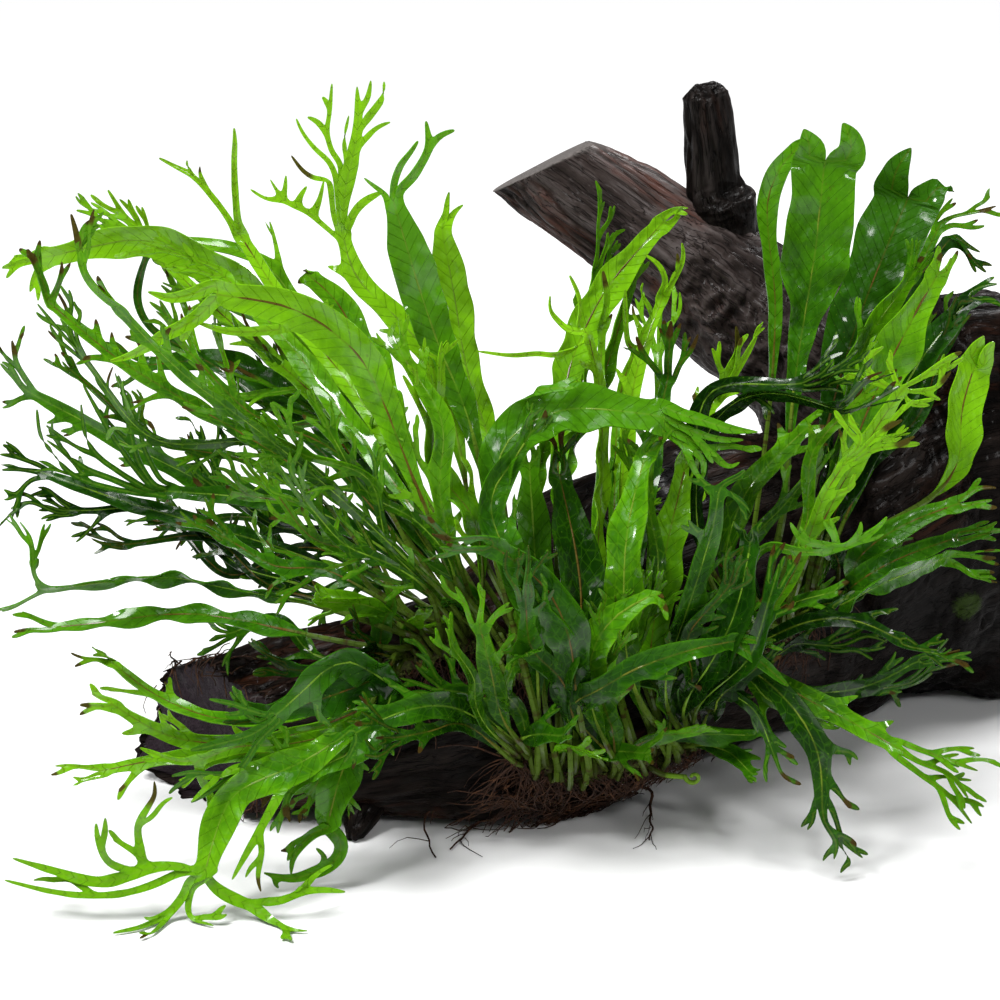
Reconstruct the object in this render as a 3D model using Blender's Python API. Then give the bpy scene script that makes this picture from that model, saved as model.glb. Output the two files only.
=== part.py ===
"""Java fern with lace-like frond tips, growing on a forked piece of driftwood that lies on its side.

The wood rests on a flat strip of its underside, and the origin is on that strip, under the plant.
Metres, +Z up, +X to the right along the wood, +Y away from the viewer.

Routes are given by their place in a 1000 x 1000 picture of the plant, seen from VIEW_RISE above the
horizontal, with the distance back (+Y, in millimetres) that the picture does not show. place() turns
them into real positions; every length, width and radius is a real size.
"""
import itertools
import math

import bmesh
import bpy
from mathutils import Matrix, Vector
from mathutils.bvhtree import BVHTree

# ---- driving dimensions, in metres unless a name says otherwise
VIEW_AIM = Vector((-0.045, 0.0, 0.11))      # point in the middle of the picture
VIEW_DISTANCE = 0.90
VIEW_RISE = math.radians(18)
VIEW_PIXELS = 2250                          # picture pixels for a slope of 1
VIEW_MIDDLE = 500

GAP = 0.0003                                # between pieces that touch
BLADE_THICKNESS = 0.0010
STALK_HALF_WIDTH = 0.0011
TIP_HALF_WIDTH = 0.0006
LOWEST_FROND = 0.0016                       # centre of a blade that lies on the ground
WOOD_CLEARANCE = 0.006                      # kept between a frond's route and the wood behind it
RHIZOME_RADIUS = 0.0042
RHIZOME_LIFT = 0.0009                       # rhizome off the uneven bark
ROOT_RADIUS = 0.0008
FLAT_SHARE = 0.93                           # height of the log's axis as a share of its radius

WOOD_COLOUR = (0.045, 0.030, 0.024, 1)
UPPER_WOOD_COLOUR = (0.085, 0.066, 0.058, 1)
RHIZOME_COLOUR = (0.16, 0.17, 0.05, 1)
ROOT_COLOUR = (0.16, 0.075, 0.035, 1)
BRIGHT_GREEN = (0.13, 0.42, 0.02, 1)
MID_GREEN = (0.045, 0.25, 0.015, 1)
DARK_GREEN = (0.02, 0.13, 0.012, 1)

# The lying log: place across the picture, distance back, half height, half depth (mm)
LOG = [
    (214, -46, 30, 32), (300, -44, 35, 35), (400, -44, 41, 41), (465, -43, 48, 46),
    (550, -31, 58, 54), (640, 0, 64, 58), (730, 35, 64, 60), (790, 51, 65, 61),
    (835, 56, 76, 62), (885, 68, 87, 63), (945, 80, 91, 64), (1000, 88, 87, 64), (1036, 93, 82, 60),
]
LOG_FORK = 790                              # the log is parted here, at its fork
LEFT_END_TURN = Vector((0.62, -0.78, 0.0))  # the broken end faces left and forward

# Raised limbs: picture point, distance back, radius (mm)
UPPER_LIMB = [
    (538, 163, 120, 21), (600, 205, 118, 24), (660, 246, 115, 27), (715, 286, 110, 31),
    (770, 326, 102, 35), (820, 352, 92, 41), (870, 385, 82, 44), (925, 430, 76, 40),
]
END_SLANT = 0.42                            # of the sawn end, as a slope
UPRIGHT_STUB = [
    (735, 262, 112, 13), (722, 212, 112, 15), (718, 196, 112, 13.5), (712, 150, 112, 12),
    (706, 104, 112, 11), (704, 90, 112, 9.5), (703, 84, 112, 6),
]
LOG_FOOT = [(372, 790, -62, 9), (362, 815, -74, 7), (354, 832, -80, 5), (352, 840, -82, 2.5)]

# Rhizomes creep over the front of the log: picture points from left to right
RHIZOMES = {
    "left": [(372, 688), (400, 668), (435, 654), (475, 646), (512, 655), (530, 676)],
    "front": [(502, 740), (535, 755), (572, 765), (612, 757), (652, 744), (694, 726)],
    "right": [(686, 662), (722, 650), (762, 634), (800, 612), (830, 584)],
}
ROOT_MAT = [(512, 784), (542, 793), (578, 799), (610, 794), (638, 780)]
HANGING_ROOTS = [
    [(535, 795, -62), (500, 812, -66), (470, 828, -74), (452, 849, -90)],
    [(530, 795, -60), (470, 800, -68), (425, 815, -76), (434, 857, -96)],
    [(630, 785, -52), (650, 790, -58), (651, 812, -66), (650, 840, -82)],
]
FIDDLEHEAD = [(641, 762, -74), (662, 774, -78), (686, 777, -80)]
FIDDLEHEAD_COIL_RADIUS = 0.0026


def leaf(width, route, tips, lobes=(), roll=0, colour=MID_GREEN):
    """One frond: blade width and distances back in mm, roll in degrees, the rest picture points."""
    return {"width": width, "route": route, "tips": tips, "lobes": lobes, "roll": roll,
            "colour": colour}


# Each group starts on its own rhizome, in order along it. tips: where the fingers of the branched
# end reach. lobes: share of the blade's length, and where a finger on the blade's side reaches.
FRONDS = {
    "left": [
        leaf(14, [(372, 712, -108), (351, 748, -116), (338, 784, -120), (330, 818, -122)],
             [(265, 875), (314, 877), (337, 852)], roll=20),
        leaf(18, [(378, 708, -116), (330, 748, -127), (268, 780, -130), (215, 825, -136),
                  (195, 862, -143)],
             [(8, 850), (4, 880), (113, 933), (215, 926), (300, 938), (345, 890)],
             lobes=[(0.78, 62, 815), (0.68, 155, 778)], roll=10, colour=BRIGHT_GREEN),
        leaf(6, [(378, 718, -100), (300, 750, -110), (184, 757, -114), (143, 758, -113),
                 (108, 770, -112)], [(55, 766), (73, 777)], roll=15, colour=BRIGHT_GREEN),
        leaf(6, [(382, 702, -96), (300, 735, -102), (191, 747, -101), (153, 730, -99),
                 (119, 708, -97)], [(80, 705), (92, 694)], roll=-15, colour=BRIGHT_GREEN),
        leaf(6, [(384, 688, -91), (320, 712, -95), (249, 726, -93), (191, 714, -91),
                 (134, 686, -89), (113, 664, -87)], [(71, 653), (92, 647)], roll=20,
             colour=BRIGHT_GREEN),
        leaf(13, [(390, 672, -110), (344, 690, -119), (300, 705, -121), (266, 712, -122)],
             [(232, 724), (236, 700)], roll=-25, colour=DARK_GREEN),
        leaf(11, [(400, 650, -94), (330, 640, -82), (220, 617, -62), (172, 613, -56),
                  (134, 616, -52), (100, 629, -50), (57, 628, -48)], [(14, 632), (22, 612)],
             roll=35),
        leaf(13, [(405, 630, -88), (300, 592, -60), (210, 577, -42), (153, 559, -36),
                  (115, 572, -33), (77, 584, -31), (48, 588, -30)],
             [(2, 611), (30, 560), (20, 522)], roll=-30),
        leaf(8, [(430, 622, -78), (320, 562, -30), (190, 522, 5), (90, 492, 18), (45, 474, 22)],
             [(4, 500), (2, 470), (6, 448)], roll=30, colour=DARK_GREEN),
        leaf(9, [(440, 612, -66), (320, 540, -5), (180, 470, 40), (80, 420, 55), (30, 392, 60)],
             [(2, 408), (2, 362), (12, 340)], roll=-20),
        leaf(9, [(445, 600, -78), (330, 490, -54), (200, 410, -42), (100, 350, -38),
                 (50, 304, -36)], [(19, 250), (36, 252), (62, 262)], roll=25,
             colour=BRIGHT_GREEN),
        leaf(9, [(440, 590, -94), (300, 460, -94), (190, 380, -92), (122, 312, -88)],
             [(71, 215), (92, 219), (98, 285)], roll=-35, colour=BRIGHT_GREEN),
        leaf(14, [(438, 586, -62), (340, 440, 10), (255, 375, 34), (191, 353, 45), (150, 366, 50)],
             [(108, 350), (118, 388)], roll=20, colour=DARK_GREEN),
        leaf(15, [(447, 560, -60), (400, 440, -10), (310, 340, 8), (228, 274, 18), (191, 243, 21),
                  (150, 234, 22), (105, 242, 22), (45, 257, 22)], [(2, 266), (12, 250)], roll=-20,
             colour=BRIGHT_GREEN),
        leaf(7, [(452, 560, -72), (340, 420, -20), (215, 310, 42), (152, 250, 55)],
             [(108, 192), (128, 201), (145, 209)], roll=30, colour=BRIGHT_GREEN),
        leaf(18, [(462, 600, -92), (430, 520, -100), (383, 399, -96), (351, 335, -95),
                  (287, 303, -100), (232, 281, -104)], [(112, 360), (150, 293), (160, 275)],
             lobes=[(0.90, 198, 322)], roll=-10, colour=BRIGHT_GREEN),
        leaf(8, [(466, 560, -72), (362, 400, -20), (280, 300, 5), (250, 262, 10), (242, 238, 12)],
             [(159, 160), (201, 185), (234, 130)], roll=-25, colour=BRIGHT_GREEN),
        leaf(10, [(480, 560, -86), (455, 420, -62), (432, 347, -50), (384, 303, -45),
                  (350, 280, -42), (333, 240, -40)],
             [(250, 188), (286, 175), (296, 120), (332, 84), (357, 86), (384, 82)],
             lobes=[(0.92, 391, 123)], roll=15, colour=BRIGHT_GREEN),
        leaf(15, [(500, 600, -92), (487, 500, -72), (470, 420, -50), (443, 360, -42),
                  (422, 299, -36), (407, 251, -32), (394, 205, -30)],
             [(426, 122), (464, 133)], roll=10),
        leaf(12, [(516, 592, -70), (500, 470, -20), (476, 400, -2), (460, 347, 5), (457, 305, 8),
                  (447, 261, 10), (443, 230, 10)], [(450, 192), (462, 206)], roll=-25,
             colour=BRIGHT_GREEN),
    ],
    "front": [
        leaf(10, [(498, 735, -96), (455, 704, -112), (405, 708, -124), (365, 728, -130)],
             [(328, 745), (344, 762)], roll=20),
        leaf(9, [(505, 728, -100), (492, 670, -118), (482, 632, -124)],
             [(455, 586), (485, 590), (510, 602)], roll=-20, colour=BRIGHT_GREEN),
        leaf(18, [(530, 690, -104), (494, 540, -96), (496, 450, -78), (540, 413, -70),
                  (600, 406, -70), (655, 416, -72)],
             [(756, 430), (739, 464), (708, 458)], lobes=[(0.84, 575, 388)], roll=-10,
             colour=BRIGHT_GREEN),
        leaf(14, [(560, 660, -90), (556, 540, -55), (558, 440, -20), (572, 347, 10), (603, 290, 25),
                  (624, 250, 35), (660, 225, 42)], [(688, 208), (680, 216)], roll=15,
             colour=BRIGHT_GREEN),
        leaf(18, [(574, 690, -98), (582, 608, -92), (573, 541, -78), (560, 484, -64)],
             [(551, 434), (559, 432)], roll=25),
        leaf(16, [(577, 700, -108), (572, 637, -121), (548, 582, -124), (500, 550, -126)],
             [(432, 534), (440, 547)], roll=-15),
        leaf(9, [(592, 650, -86), (598, 520, -50), (602, 430, -25), (598, 372, -15),
                 (588, 338, -10)], [(477, 353), (538, 303), (561, 307)], roll=30,
             colour=BRIGHT_GREEN),
        leaf(12, [(592, 712, -106), (592, 645, -124), (622, 602, -130), (650, 597, -131)],
             [(668, 610), (664, 598)], roll=-20, colour=BRIGHT_GREEN),
        leaf(7, [(606, 650, -82), (620, 500, -40), (630, 400, -15), (641, 340, 0), (661, 300, 8)],
             [(681, 246), (672, 262)], roll=15, colour=BRIGHT_GREEN),
        leaf(9, [(618, 650, -84), (642, 520, -56), (655, 430, -36), (667, 382, -26)],
             [(636, 336), (671, 322), (698, 334)], roll=-30),
        leaf(9, [(634, 660, -86), (667, 540, -62), (692, 450, -42), (712, 402, -32)],
             [(740, 352), (756, 334), (748, 384)], roll=20, colour=BRIGHT_GREEN),
        leaf(14, [(636, 700, -96), (624, 604, -106), (628, 520, -92), (645, 460, -78)],
             [(658, 432), (665, 434)], roll=-20, colour=BRIGHT_GREEN),
        leaf(9, [(660, 702, -92), (682, 622, -112), (705, 552, -118), (721, 505, -120)],
             [(700, 478), (745, 470), (751, 514)], roll=25),
        leaf(15, [(678, 716, -88), (715, 662, -104), (742, 602, -104), (750, 550, -98)],
             [(752, 528), (744, 530)], roll=-30, colour=DARK_GREEN),
    ],
    "right": [
        leaf(10, [(712, 672, -72), (736, 657, -96), (776, 690, -110), (808, 716, -114),
                  (824, 760, -116), (822, 800, -116)], [(807, 830), (834, 859), (863, 858)],
             roll=15),
        leaf(9, [(722, 670, -70), (762, 668, -96), (806, 702, -106), (852, 722, -110),
                 (891, 745, -112)], [(972, 824), (968, 798), (978, 771)], roll=-20,
             colour=BRIGHT_GREEN),
        leaf(7, [(732, 668, -70), (800, 692, -90), (862, 690, -100), (910, 664, -104)],
             [(968, 664), (960, 650)], roll=25),
        leaf(6, [(738, 655, -72), (790, 627, -88), (843, 612, -94), (891, 636, -100)],
             [(948, 660), (938, 650)], roll=-20, colour=DARK_GREEN),
        leaf(12, [(712, 600, -66), (692, 500, -50), (706, 422, -42), (748, 382, -38),
                  (790, 394, -38), (830, 406, -38)], [(900, 386), (882, 372), (863, 388)], roll=20,
             colour=DARK_GREEN),
        leaf(10, [(722, 600, -62), (738, 502, -56), (775, 458, -50), (803, 432, -48)],
             [(822, 414), (826, 426)], roll=-25, colour=BRIGHT_GREEN),
        leaf(27, [(752, 616, -56), (778, 560, -48), (786, 500, -36), (790, 400, -22),
                  (801, 330, -14), (811, 272, -8), (821, 205, -4), (823, 165, -2)],
             [(806, 132), (843, 128)], roll=10),
        leaf(30, [(768, 606, -46), (805, 520, -24), (834, 400, 0), (863, 307, 20), (890, 242, 32),
                  (908, 200, 38)], [(909, 150), (952, 194)], roll=-15, colour=DARK_GREEN),
        leaf(9, [(782, 612, -66), (830, 504, -70), (870, 434, -72), (898, 394, -74)],
             [(882, 352), (958, 356), (944, 386), (928, 405)], roll=25, colour=BRIGHT_GREEN),
        leaf(18, [(786, 606, -56), (838, 480, -42), (884, 368, -30), (912, 318, -24),
                  (934, 278, -20)], [(942, 254), (951, 258)], roll=20, colour=BRIGHT_GREEN),
        leaf(12, [(790, 600, -42), (852, 430, 6), (896, 312, 34), (924, 257, 44), (948, 240, 49)],
             [(980, 252), (986, 272)], roll=30, colour=DARK_GREEN),
        leaf(8, [(796, 596, -36), (862, 440, 20), (906, 300, 60), (938, 228, 74)],
             [(953, 198), (996, 206), (985, 226)], roll=-20, colour=BRIGHT_GREEN),
        leaf(14, [(800, 606, -52), (864, 460, -32), (930, 346, -16), (966, 303, -10)],
             [(997, 284), (996, 300)], roll=-25, colour=DARK_GREEN),
        leaf(20, [(808, 570, -30), (884, 524, -14), (955, 480, -4), (956, 414, 0), (972, 370, 2)],
             [(983, 350), (990, 352)], roll=20, colour=BRIGHT_GREEN),
        leaf(9, [(840, 606, -106), (870, 588, -114), (910, 573, -112),
                 (945, 558, -105)], [(996, 558), (992, 576)], roll=-15, colour=BRIGHT_GREEN),
        leaf(9, [(846, 590, -88), (886, 562, -94), (950, 540, -96)],
             [(997, 522), (994, 532)], roll=20),
        leaf(10, [(850, 562, -64), (895, 528, -62), (950, 507, -60)],
             [(996, 488), (992, 500)], roll=-20),
    ],
}
NARROW_BLADE = 10                           # mm; these need fewer rows
LOBE_ROOT = 0.012                           # half the root of a side finger, as a share of length
WANTED_SIDE = 0.6                           # how far each blade row turns back to face the viewer
LEANS = [0, 5, -5, 10, -10, 15, -15, 20, -20, 26, -26, 32, -32, 40, -40, 50, -50]   # mm at the tip
TWISTS = [0, 30, -30]                       # degrees added to the roll
SWINGS = [0, 8, -8, 14, -14]                # picture points up or down, at the route's middle
LOWEST_FOOT, STEEPEST_FOOT = 15, 60         # degrees up from the bark's normal
FOOT_TURN = 2                               # degrees less for each mm that a frond then goes forward
SLIDES = [0, 0.3, -0.3, 0.45, -0.45]        # along the rhizome, as a share of the room per frond


# ---- the picture
LOOK = Vector((0, math.cos(VIEW_RISE), -math.sin(VIEW_RISE)))
RIGHT = Vector((1, 0, 0))
UP = RIGHT.cross(LOOK)
EYE = VIEW_AIM - LOOK * VIEW_DISTANCE


def ray(px, py):
    across = (px - VIEW_MIDDLE) / VIEW_PIXELS
    upward = (VIEW_MIDDLE - py) / VIEW_PIXELS
    return LOOK + RIGHT * across + UP * upward


def place(px, py, back):
    """Real position of a picture point that lies back mm behind the origin."""
    line = ray(px, py)
    return EYE + line * ((back / 1000 - EYE.y) / line.y)


def place_over_ground(px, py, back, lowest):
    point = place(px, py, back)
    if point.z < lowest:
        line = ray(px, py)
        point = EYE + line * ((lowest - EYE.z) / line.z)
    return point


# ---- curves
def spline(points, steps=12):
    """Points of a Catmull-Rom curve through the given vectors."""
    ends = [points[0] * 2 - points[1]] + list(points) + [points[-1] * 2 - points[-2]]
    out = []
    for a, b, c, d in zip(ends, ends[1:], ends[2:], ends[3:]):
        for i in range(steps):
            t = i / steps
            out.append(0.5 * (2 * b + (c - a) * t + (2 * a - 5 * b + 4 * c - d) * t * t
                              + (3 * b - a - 3 * c + d) * t ** 3))
    out.append(points[-1].copy())
    return out


class Path:
    """A curve read by its length, from 0 to 1."""

    def __init__(self, points, steps=12):
        self.points = spline(points, steps)
        self.reach = [0.0]
        for a, b in zip(self.points, self.points[1:]):
            self.reach.append(self.reach[-1] + (b - a).xyz.length)
        self.length = self.reach[-1]

    def at(self, share):
        goal = min(max(share, 0.0), 1.0) * self.length
        for i in range(1, len(self.reach)):
            if self.reach[i] >= goal:
                span = self.reach[i] - self.reach[i - 1] or 1.0
                return self.points[i - 1].lerp(self.points[i], (goal - self.reach[i - 1]) / span)
        return self.points[-1].copy()

    def tangent(self, share):
        return (self.at(share + 0.02) - self.at(share - 0.02)).normalized()


# ---- materials and objects
def material(name, colour, roughness):
    mat = bpy.data.materials.new(name)
    mat.use_nodes = True
    shader = mat.node_tree.nodes["Principled BSDF"]
    shader.inputs["Base Color"].default_value = colour
    shader.inputs["Roughness"].default_value = roughness
    shader.inputs["Metallic"].default_value = 0.0
    mat.diffuse_color = colour
    return mat


def add_object(name, bm, colour, roughness=0.45):
    bmesh.ops.recalc_face_normals(bm, faces=bm.faces)
    bmesh.ops.triangulate(bm, faces=bm.faces)
    mesh = bpy.data.meshes.new(name)
    bm.to_mesh(mesh)
    bm.free()
    ob = bpy.data.objects.new(name, mesh)
    bpy.context.scene.collection.objects.link(ob)
    mesh.materials.append(material(name, colour, roughness))
    mesh.shade_smooth()
    mesh.set_sharp_from_angle(angle=math.radians(40))
    return ob


def loft(rings):
    """Closed body through rings of points, its two ends flat."""
    bm = bmesh.new()
    rows = [[bm.verts.new(p) for p in ring] for ring in rings]
    for a, b in zip(rows, rows[1:]):
        for i in range(len(a)):
            j = (i + 1) % len(a)
            bm.faces.new((a[i], a[j], b[j], b[i]))
    bm.faces.new(rows[0])
    bm.faces.new(list(reversed(rows[-1])))
    return bm


def tube(points, radii, sides):
    """Closed round body along points."""
    rings = []
    side = None
    for i, point in enumerate(points):
        before, after = points[max(i - 1, 0)], points[min(i + 1, len(points) - 1)]
        along = (after - before).normalized()
        side = along.orthogonal() if side is None else side - along * side.dot(along)
        side.normalize()
        other = along.cross(side)
        turns = [2 * math.pi * k / sides for k in range(sides)]
        rings.append([point + (side * math.cos(a) + other * math.sin(a)) * radii[i] for a in turns])
    return loft(rings)


def tree_of(ob):
    return BVHTree.FromPolygons([v.co for v in ob.data.vertices],
                                [p.vertices[:] for p in ob.data.polygons])


def keep_largest(ob):
    """Drops the crumbs that a cut leaves."""
    bm = bmesh.new()
    bm.from_mesh(ob.data)
    left = set(bm.verts)
    islands = []
    while left:
        island, edge_of = set(), [left.pop()]
        while edge_of:
            vert = edge_of.pop()
            island.add(vert)
            near = {e.other_vert(vert) for e in vert.link_edges} & left
            left -= near
            edge_of += near
        islands.append(island)
    islands.sort(key=len)
    for island in islands[:-1]:
        bmesh.ops.delete(bm, geom=list(island), context="VERTS")
    bm.to_mesh(ob.data)
    bm.free()


def cut(ob, others):
    """Takes the others, each swollen by the gap, away from ob."""
    for other in others:
        bm = bmesh.new()
        bm.from_mesh(other.data)
        bm.normal_update()
        for vert in bm.verts:
            vert.co += vert.normal * GAP * 2
        mesh = bpy.data.meshes.new("cutter")
        bm.to_mesh(mesh)
        bm.free()
        cutter = bpy.data.objects.new("cutter", mesh)
        bpy.context.scene.collection.objects.link(cutter)
        apply_boolean(ob, cutter, "DIFFERENCE")
    keep_largest(ob)


def apply_boolean(ob, tool, operation):
    modifier = ob.modifiers.new(operation.lower(), "BOOLEAN")
    modifier.operation = operation
    modifier.object = tool
    depsgraph = bpy.context.evaluated_depsgraph_get()
    shape = bpy.data.meshes.new_from_object(ob.evaluated_get(depsgraph))
    ob.modifiers.remove(modifier)
    ob.data = shape
    bpy.data.objects.remove(tool)


# ---- driftwood
LOG_SIDES = 13


def bark(turn, along, seed):
    """Share by which the bark stands in or out, in long ridges that twist slowly."""
    return (1 + 0.050 * math.sin(3 * turn + 2.1 * along + seed)
            + 0.035 * math.sin(5 * turn - 3.3 * along + 1.7 * seed)
            + 0.030 * math.sin(2 * turn + 7.0 * along + 0.6 * seed))


def log_station(px, back, half_height, half_depth):
    """Axis point, half height and half depth (m) of the log where it crosses px."""
    height = FLAT_SHARE * half_height / 1000
    y = back / 1000
    depth = (Vector((0, y, height)) - EYE).dot(LOOK)
    x = EYE.x + (px - VIEW_MIDDLE) / VIEW_PIXELS * depth
    return Vector((x, y, height)), half_height / 1000, half_depth / 1000


def log_ring(centre, across, half_height, half_depth, along):
    ring = []
    for k in range(LOG_SIDES):
        turn = 2 * math.pi * k / LOG_SIDES
        swell = bark(turn, along * 9, 0.4)
        point = centre + across * math.cos(turn) * half_depth * swell
        point.z += math.sin(turn) * half_height * swell
        point.z = max(point.z, 0.0)
        ring.append(point)
    return ring


def build_log():
    stations = [log_station(*row) for row in LOG]
    axis = spline([s[0] for s in stations], 4)
    sizes = spline([Vector((s[1], s[2], 0)) for s in stations], 4)
    fork = 4 * [row[0] for row in LOG].index(LOG_FORK)
    keep = [i for i in range(0, len(axis), 2)]
    rings = {}
    for i in keep:
        ahead = axis[min(i + 1, len(axis) - 1)] - axis[max(i - 1, 0)]
        ahead.z = 0
        across = Vector((ahead.y, -ahead.x, 0)).normalized()
        depth = sizes[i].y
        if i == 0:
            across = LEFT_END_TURN
            depth = sizes[i].y / abs(LEFT_END_TURN.y)
        rings[i] = log_ring(axis[i], across, sizes[i].x, depth, i / len(axis))
    step = (axis[fork + 1] - axis[fork]).normalized() * GAP * 1.5
    step.z = 0
    limb = loft([rings[i] for i in keep if i <= fork])
    parted = [p + step for p in rings[fork]]
    trunk = loft([parted] + [rings[i] for i in keep if i > fork])
    return (add_object("lower_limb", limb, WOOD_COLOUR, 0.5),
            add_object("trunk", trunk, WOOD_COLOUR, 0.55))


def build_limb(name, stations, sides, rows, colour, seed, slant=0.0):
    """A raised limb; slant turns the saw cut at its first end out of square."""
    points = [place(px, py, back) for px, py, back, _ in stations]
    axis = spline(points, rows)
    radii = spline([Vector((s[3] / 1000, 0, 0)) for s in stations], rows)
    bm = tube(axis, [r.x for r in radii], sides)
    count = len(axis)
    for index, vert in enumerate(bm.verts):
        row, column = divmod(index, sides)
        swell = bark(2 * math.pi * column / sides, 9 * row / count, seed)
        vert.co = axis[row] + (vert.co - axis[row]) * swell
        if row == 0:
            vert.co += (axis[1] - axis[0]).normalized() * (vert.co - axis[0]).dot(UP) * slant
    return add_object(name, bm, colour, 0.6)


def build_driftwood():
    lower, trunk = build_log()
    foot = build_limb("foot", LOG_FOOT, 8, 2, WOOD_COLOUR, 1.1)
    for vert in foot.data.vertices:
        vert.co.z = max(vert.co.z, 0.0004)
    apply_boolean(lower, foot, "UNION")
    upper = build_limb("upper_limb", UPPER_LIMB, 12, 2, UPPER_WOOD_COLOUR, 2.3, END_SLANT)
    cut(upper, [trunk, lower])
    stub = build_limb("upright_stub", UPRIGHT_STUB, 9, 2, UPPER_WOOD_COLOUR, 3.9)
    cut(stub, [upper])
    return [lower, trunk, upper, stub]


# ---- rhizomes and roots
class Bark:
    """The wood's surface as the viewer sees it."""

    def __init__(self, pieces):
        self.pieces = pieces
        self.trees = [tree_of(ob) for ob in pieces]

    def hit(self, px, py):
        """Nearest point of the wood behind a picture point, with its normal, or None."""
        found = None
        for tree in self.trees:
            point, normal, _, distance = tree.ray_cast(EYE, ray(px, py).normalized())
            if point is not None and (found is None or distance < found[2]):
                found = (point, normal, distance)
        return found

    def overlaps(self, tree):
        return any(tree.overlap(other) for other in self.trees)


def build_rhizome(name, picture_points, wood):
    points, outward = [], []
    for px, py in picture_points:
        point, normal, _ = wood.hit(px, py)
        points.append(point + normal * (RHIZOME_RADIUS + RHIZOME_LIFT))
        outward.append(normal)
    axis = spline(points, 2)
    last = len(axis) - 1
    radii = [RHIZOME_RADIUS * (0.55 if i in (0, last) else 1 + 0.12 * (i % 2)) for i in range(last + 1)]
    stem = add_object("rhizome_" + name, tube(axis, radii, 6), RHIZOME_COLOUR, 0.55)
    cut(stem, wood.pieces)
    return Path(points), outward


def build_roots(wood, rhizome):
    """The root mat hugs the log below the front rhizome, with three roots hanging from it."""
    points = []
    for px, py in ROOT_MAT:
        found = wood.hit(px, py)
        point = found[0] + found[1] * 0.0060 if found else place(px, py, -60)
        points.append(point)
    axis = spline(points, 3)
    last = len(axis) - 1
    radii = [0.0052 * math.sin(math.pi * (0.12 + 0.76 * i / last)) for i in range(last + 1)]
    bm = tube(axis, radii, 8)
    for vert in bm.verts:
        vert.co.z = max(vert.co.z, GAP)
    mat = add_object("root_mat", bm, ROOT_COLOUR, 0.8)
    for route in HANGING_ROOTS:
        line = [place_over_ground(px, py, back, ROOT_RADIUS * 1.3) for px, py, back in route]
        line[0] = min(axis, key=lambda p: (p - line[0]).length)
        curve = spline(line, 3)
        count = len(curve)
        bm = tube(curve, [ROOT_RADIUS * (1.3 - 0.6 * i / count) for i in range(count)], 4)
        apply_boolean(mat, add_object("root", bm, ROOT_COLOUR, 0.8), "UNION")
    cut(mat, wood.pieces + [rhizome])
    return mat


def build_fiddlehead(wood, rhizome):
    """A young frond, still coiled, that leaves the front rhizome."""
    route = [place(px, py, back) for px, py, back in FIDDLEHEAD]
    centre = route[-1] + Vector((FIDDLEHEAD_COIL_RADIUS, 0, FIDDLEHEAD_COIL_RADIUS * 0.2))
    line = spline(route, 3)
    for k in range(1, 8):
        turn = math.pi + 0.75 * k
        radius = FIDDLEHEAD_COIL_RADIUS * (1.15 - 0.10 * k)
        line.append(centre + Vector((math.cos(turn) * radius, -0.0004 * k, math.sin(turn) * radius)))
    count = len(line)
    bm = tube(line, [0.0011 - 0.0005 * i / count for i in range(count)], 4)
    young = add_object("fiddlehead", bm, BRIGHT_GREEN, 0.4)
    cut(young, wood.pieces + [rhizome])
    return young


# ---- fronds
def half_width(share, stalk, width):
    """Half width of a frond at a share of its length: a thin stalk, then a lance-shaped blade."""
    if share <= stalk:
        return STALK_HALF_WIDTH
    inner = (share - stalk) / (1 - stalk)
    shape = math.sin(math.pi * min(inner ** 0.85, 1.0) * 0.90) ** 0.8
    return STALK_HALF_WIDTH + (width / 2 - STALK_HALF_WIDTH) * shape


def finger(bm, plus, minus, face_normal, ahead, target, segments=2):
    """A tapering strip that grows from the edge plus-minus to target."""
    start = (plus.co + minus.co) / 2
    first = (plus.co - minus.co).length / 2
    reach = (target - start).length
    bend = start + (ahead.normalized() + (target - start).normalized()) * reach * 0.22
    for k in range(1, segments + 1):
        t = k / segments
        centre = start * (1 - t) ** 2 + bend * 2 * t * (1 - t) + target * t * t
        along = ((bend - start) * (1 - t) + (target - bend) * t).normalized()
        side = along.cross(face_normal).normalized()
        side *= math.copysign(1, side.dot(plus.co - minus.co))
        half = TIP_HALF_WIDTH + (min(first, 0.0022) - TIP_HALF_WIDTH) * (1 - t)
        a, b = bm.verts.new(centre + side * half), bm.verts.new(centre - side * half)
        bm.faces.new((plus, minus, b, a))
        plus, minus = a, b


def bridge(bm, low, high):
    """Triangles between two rows with different numbers of points."""
    i = j = 0
    while i < len(low) - 1 or j < len(high) - 1:
        step_high = (j + 1) / (len(high) - 1) if j < len(high) - 1 else 2
        step_low = (i + 1) / (len(low) - 1) if i < len(low) - 1 else 2
        if step_low <= step_high:
            bm.faces.new((low[i], low[i + 1], high[j]))
            i += 1
        else:
            bm.faces.new((low[i], high[j + 1], high[j]))
            j += 1


def thicken(bm, thickness):
    """Turns an open sheet into a closed body of even thickness."""
    bmesh.ops.recalc_face_normals(bm, faces=bm.faces)
    bm.normal_update()
    verts, faces = list(bm.verts), list(bm.faces)
    rim = [e for e in bm.edges if len(e.link_faces) == 1]
    rim = [[(l.vert, l.link_loop_next.vert) for l in e.link_loops][0] for e in rim]
    half = thickness / 2
    back = {v: bm.verts.new(v.co - v.normal * half) for v in verts}
    for face in faces:
        bm.faces.new([back[v] for v in reversed(face.verts)])
    for a, b in rim:
        bm.faces.new((b, a, back[a], back[b]))
    for vert in verts:
        vert.co += vert.normal * half


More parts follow.
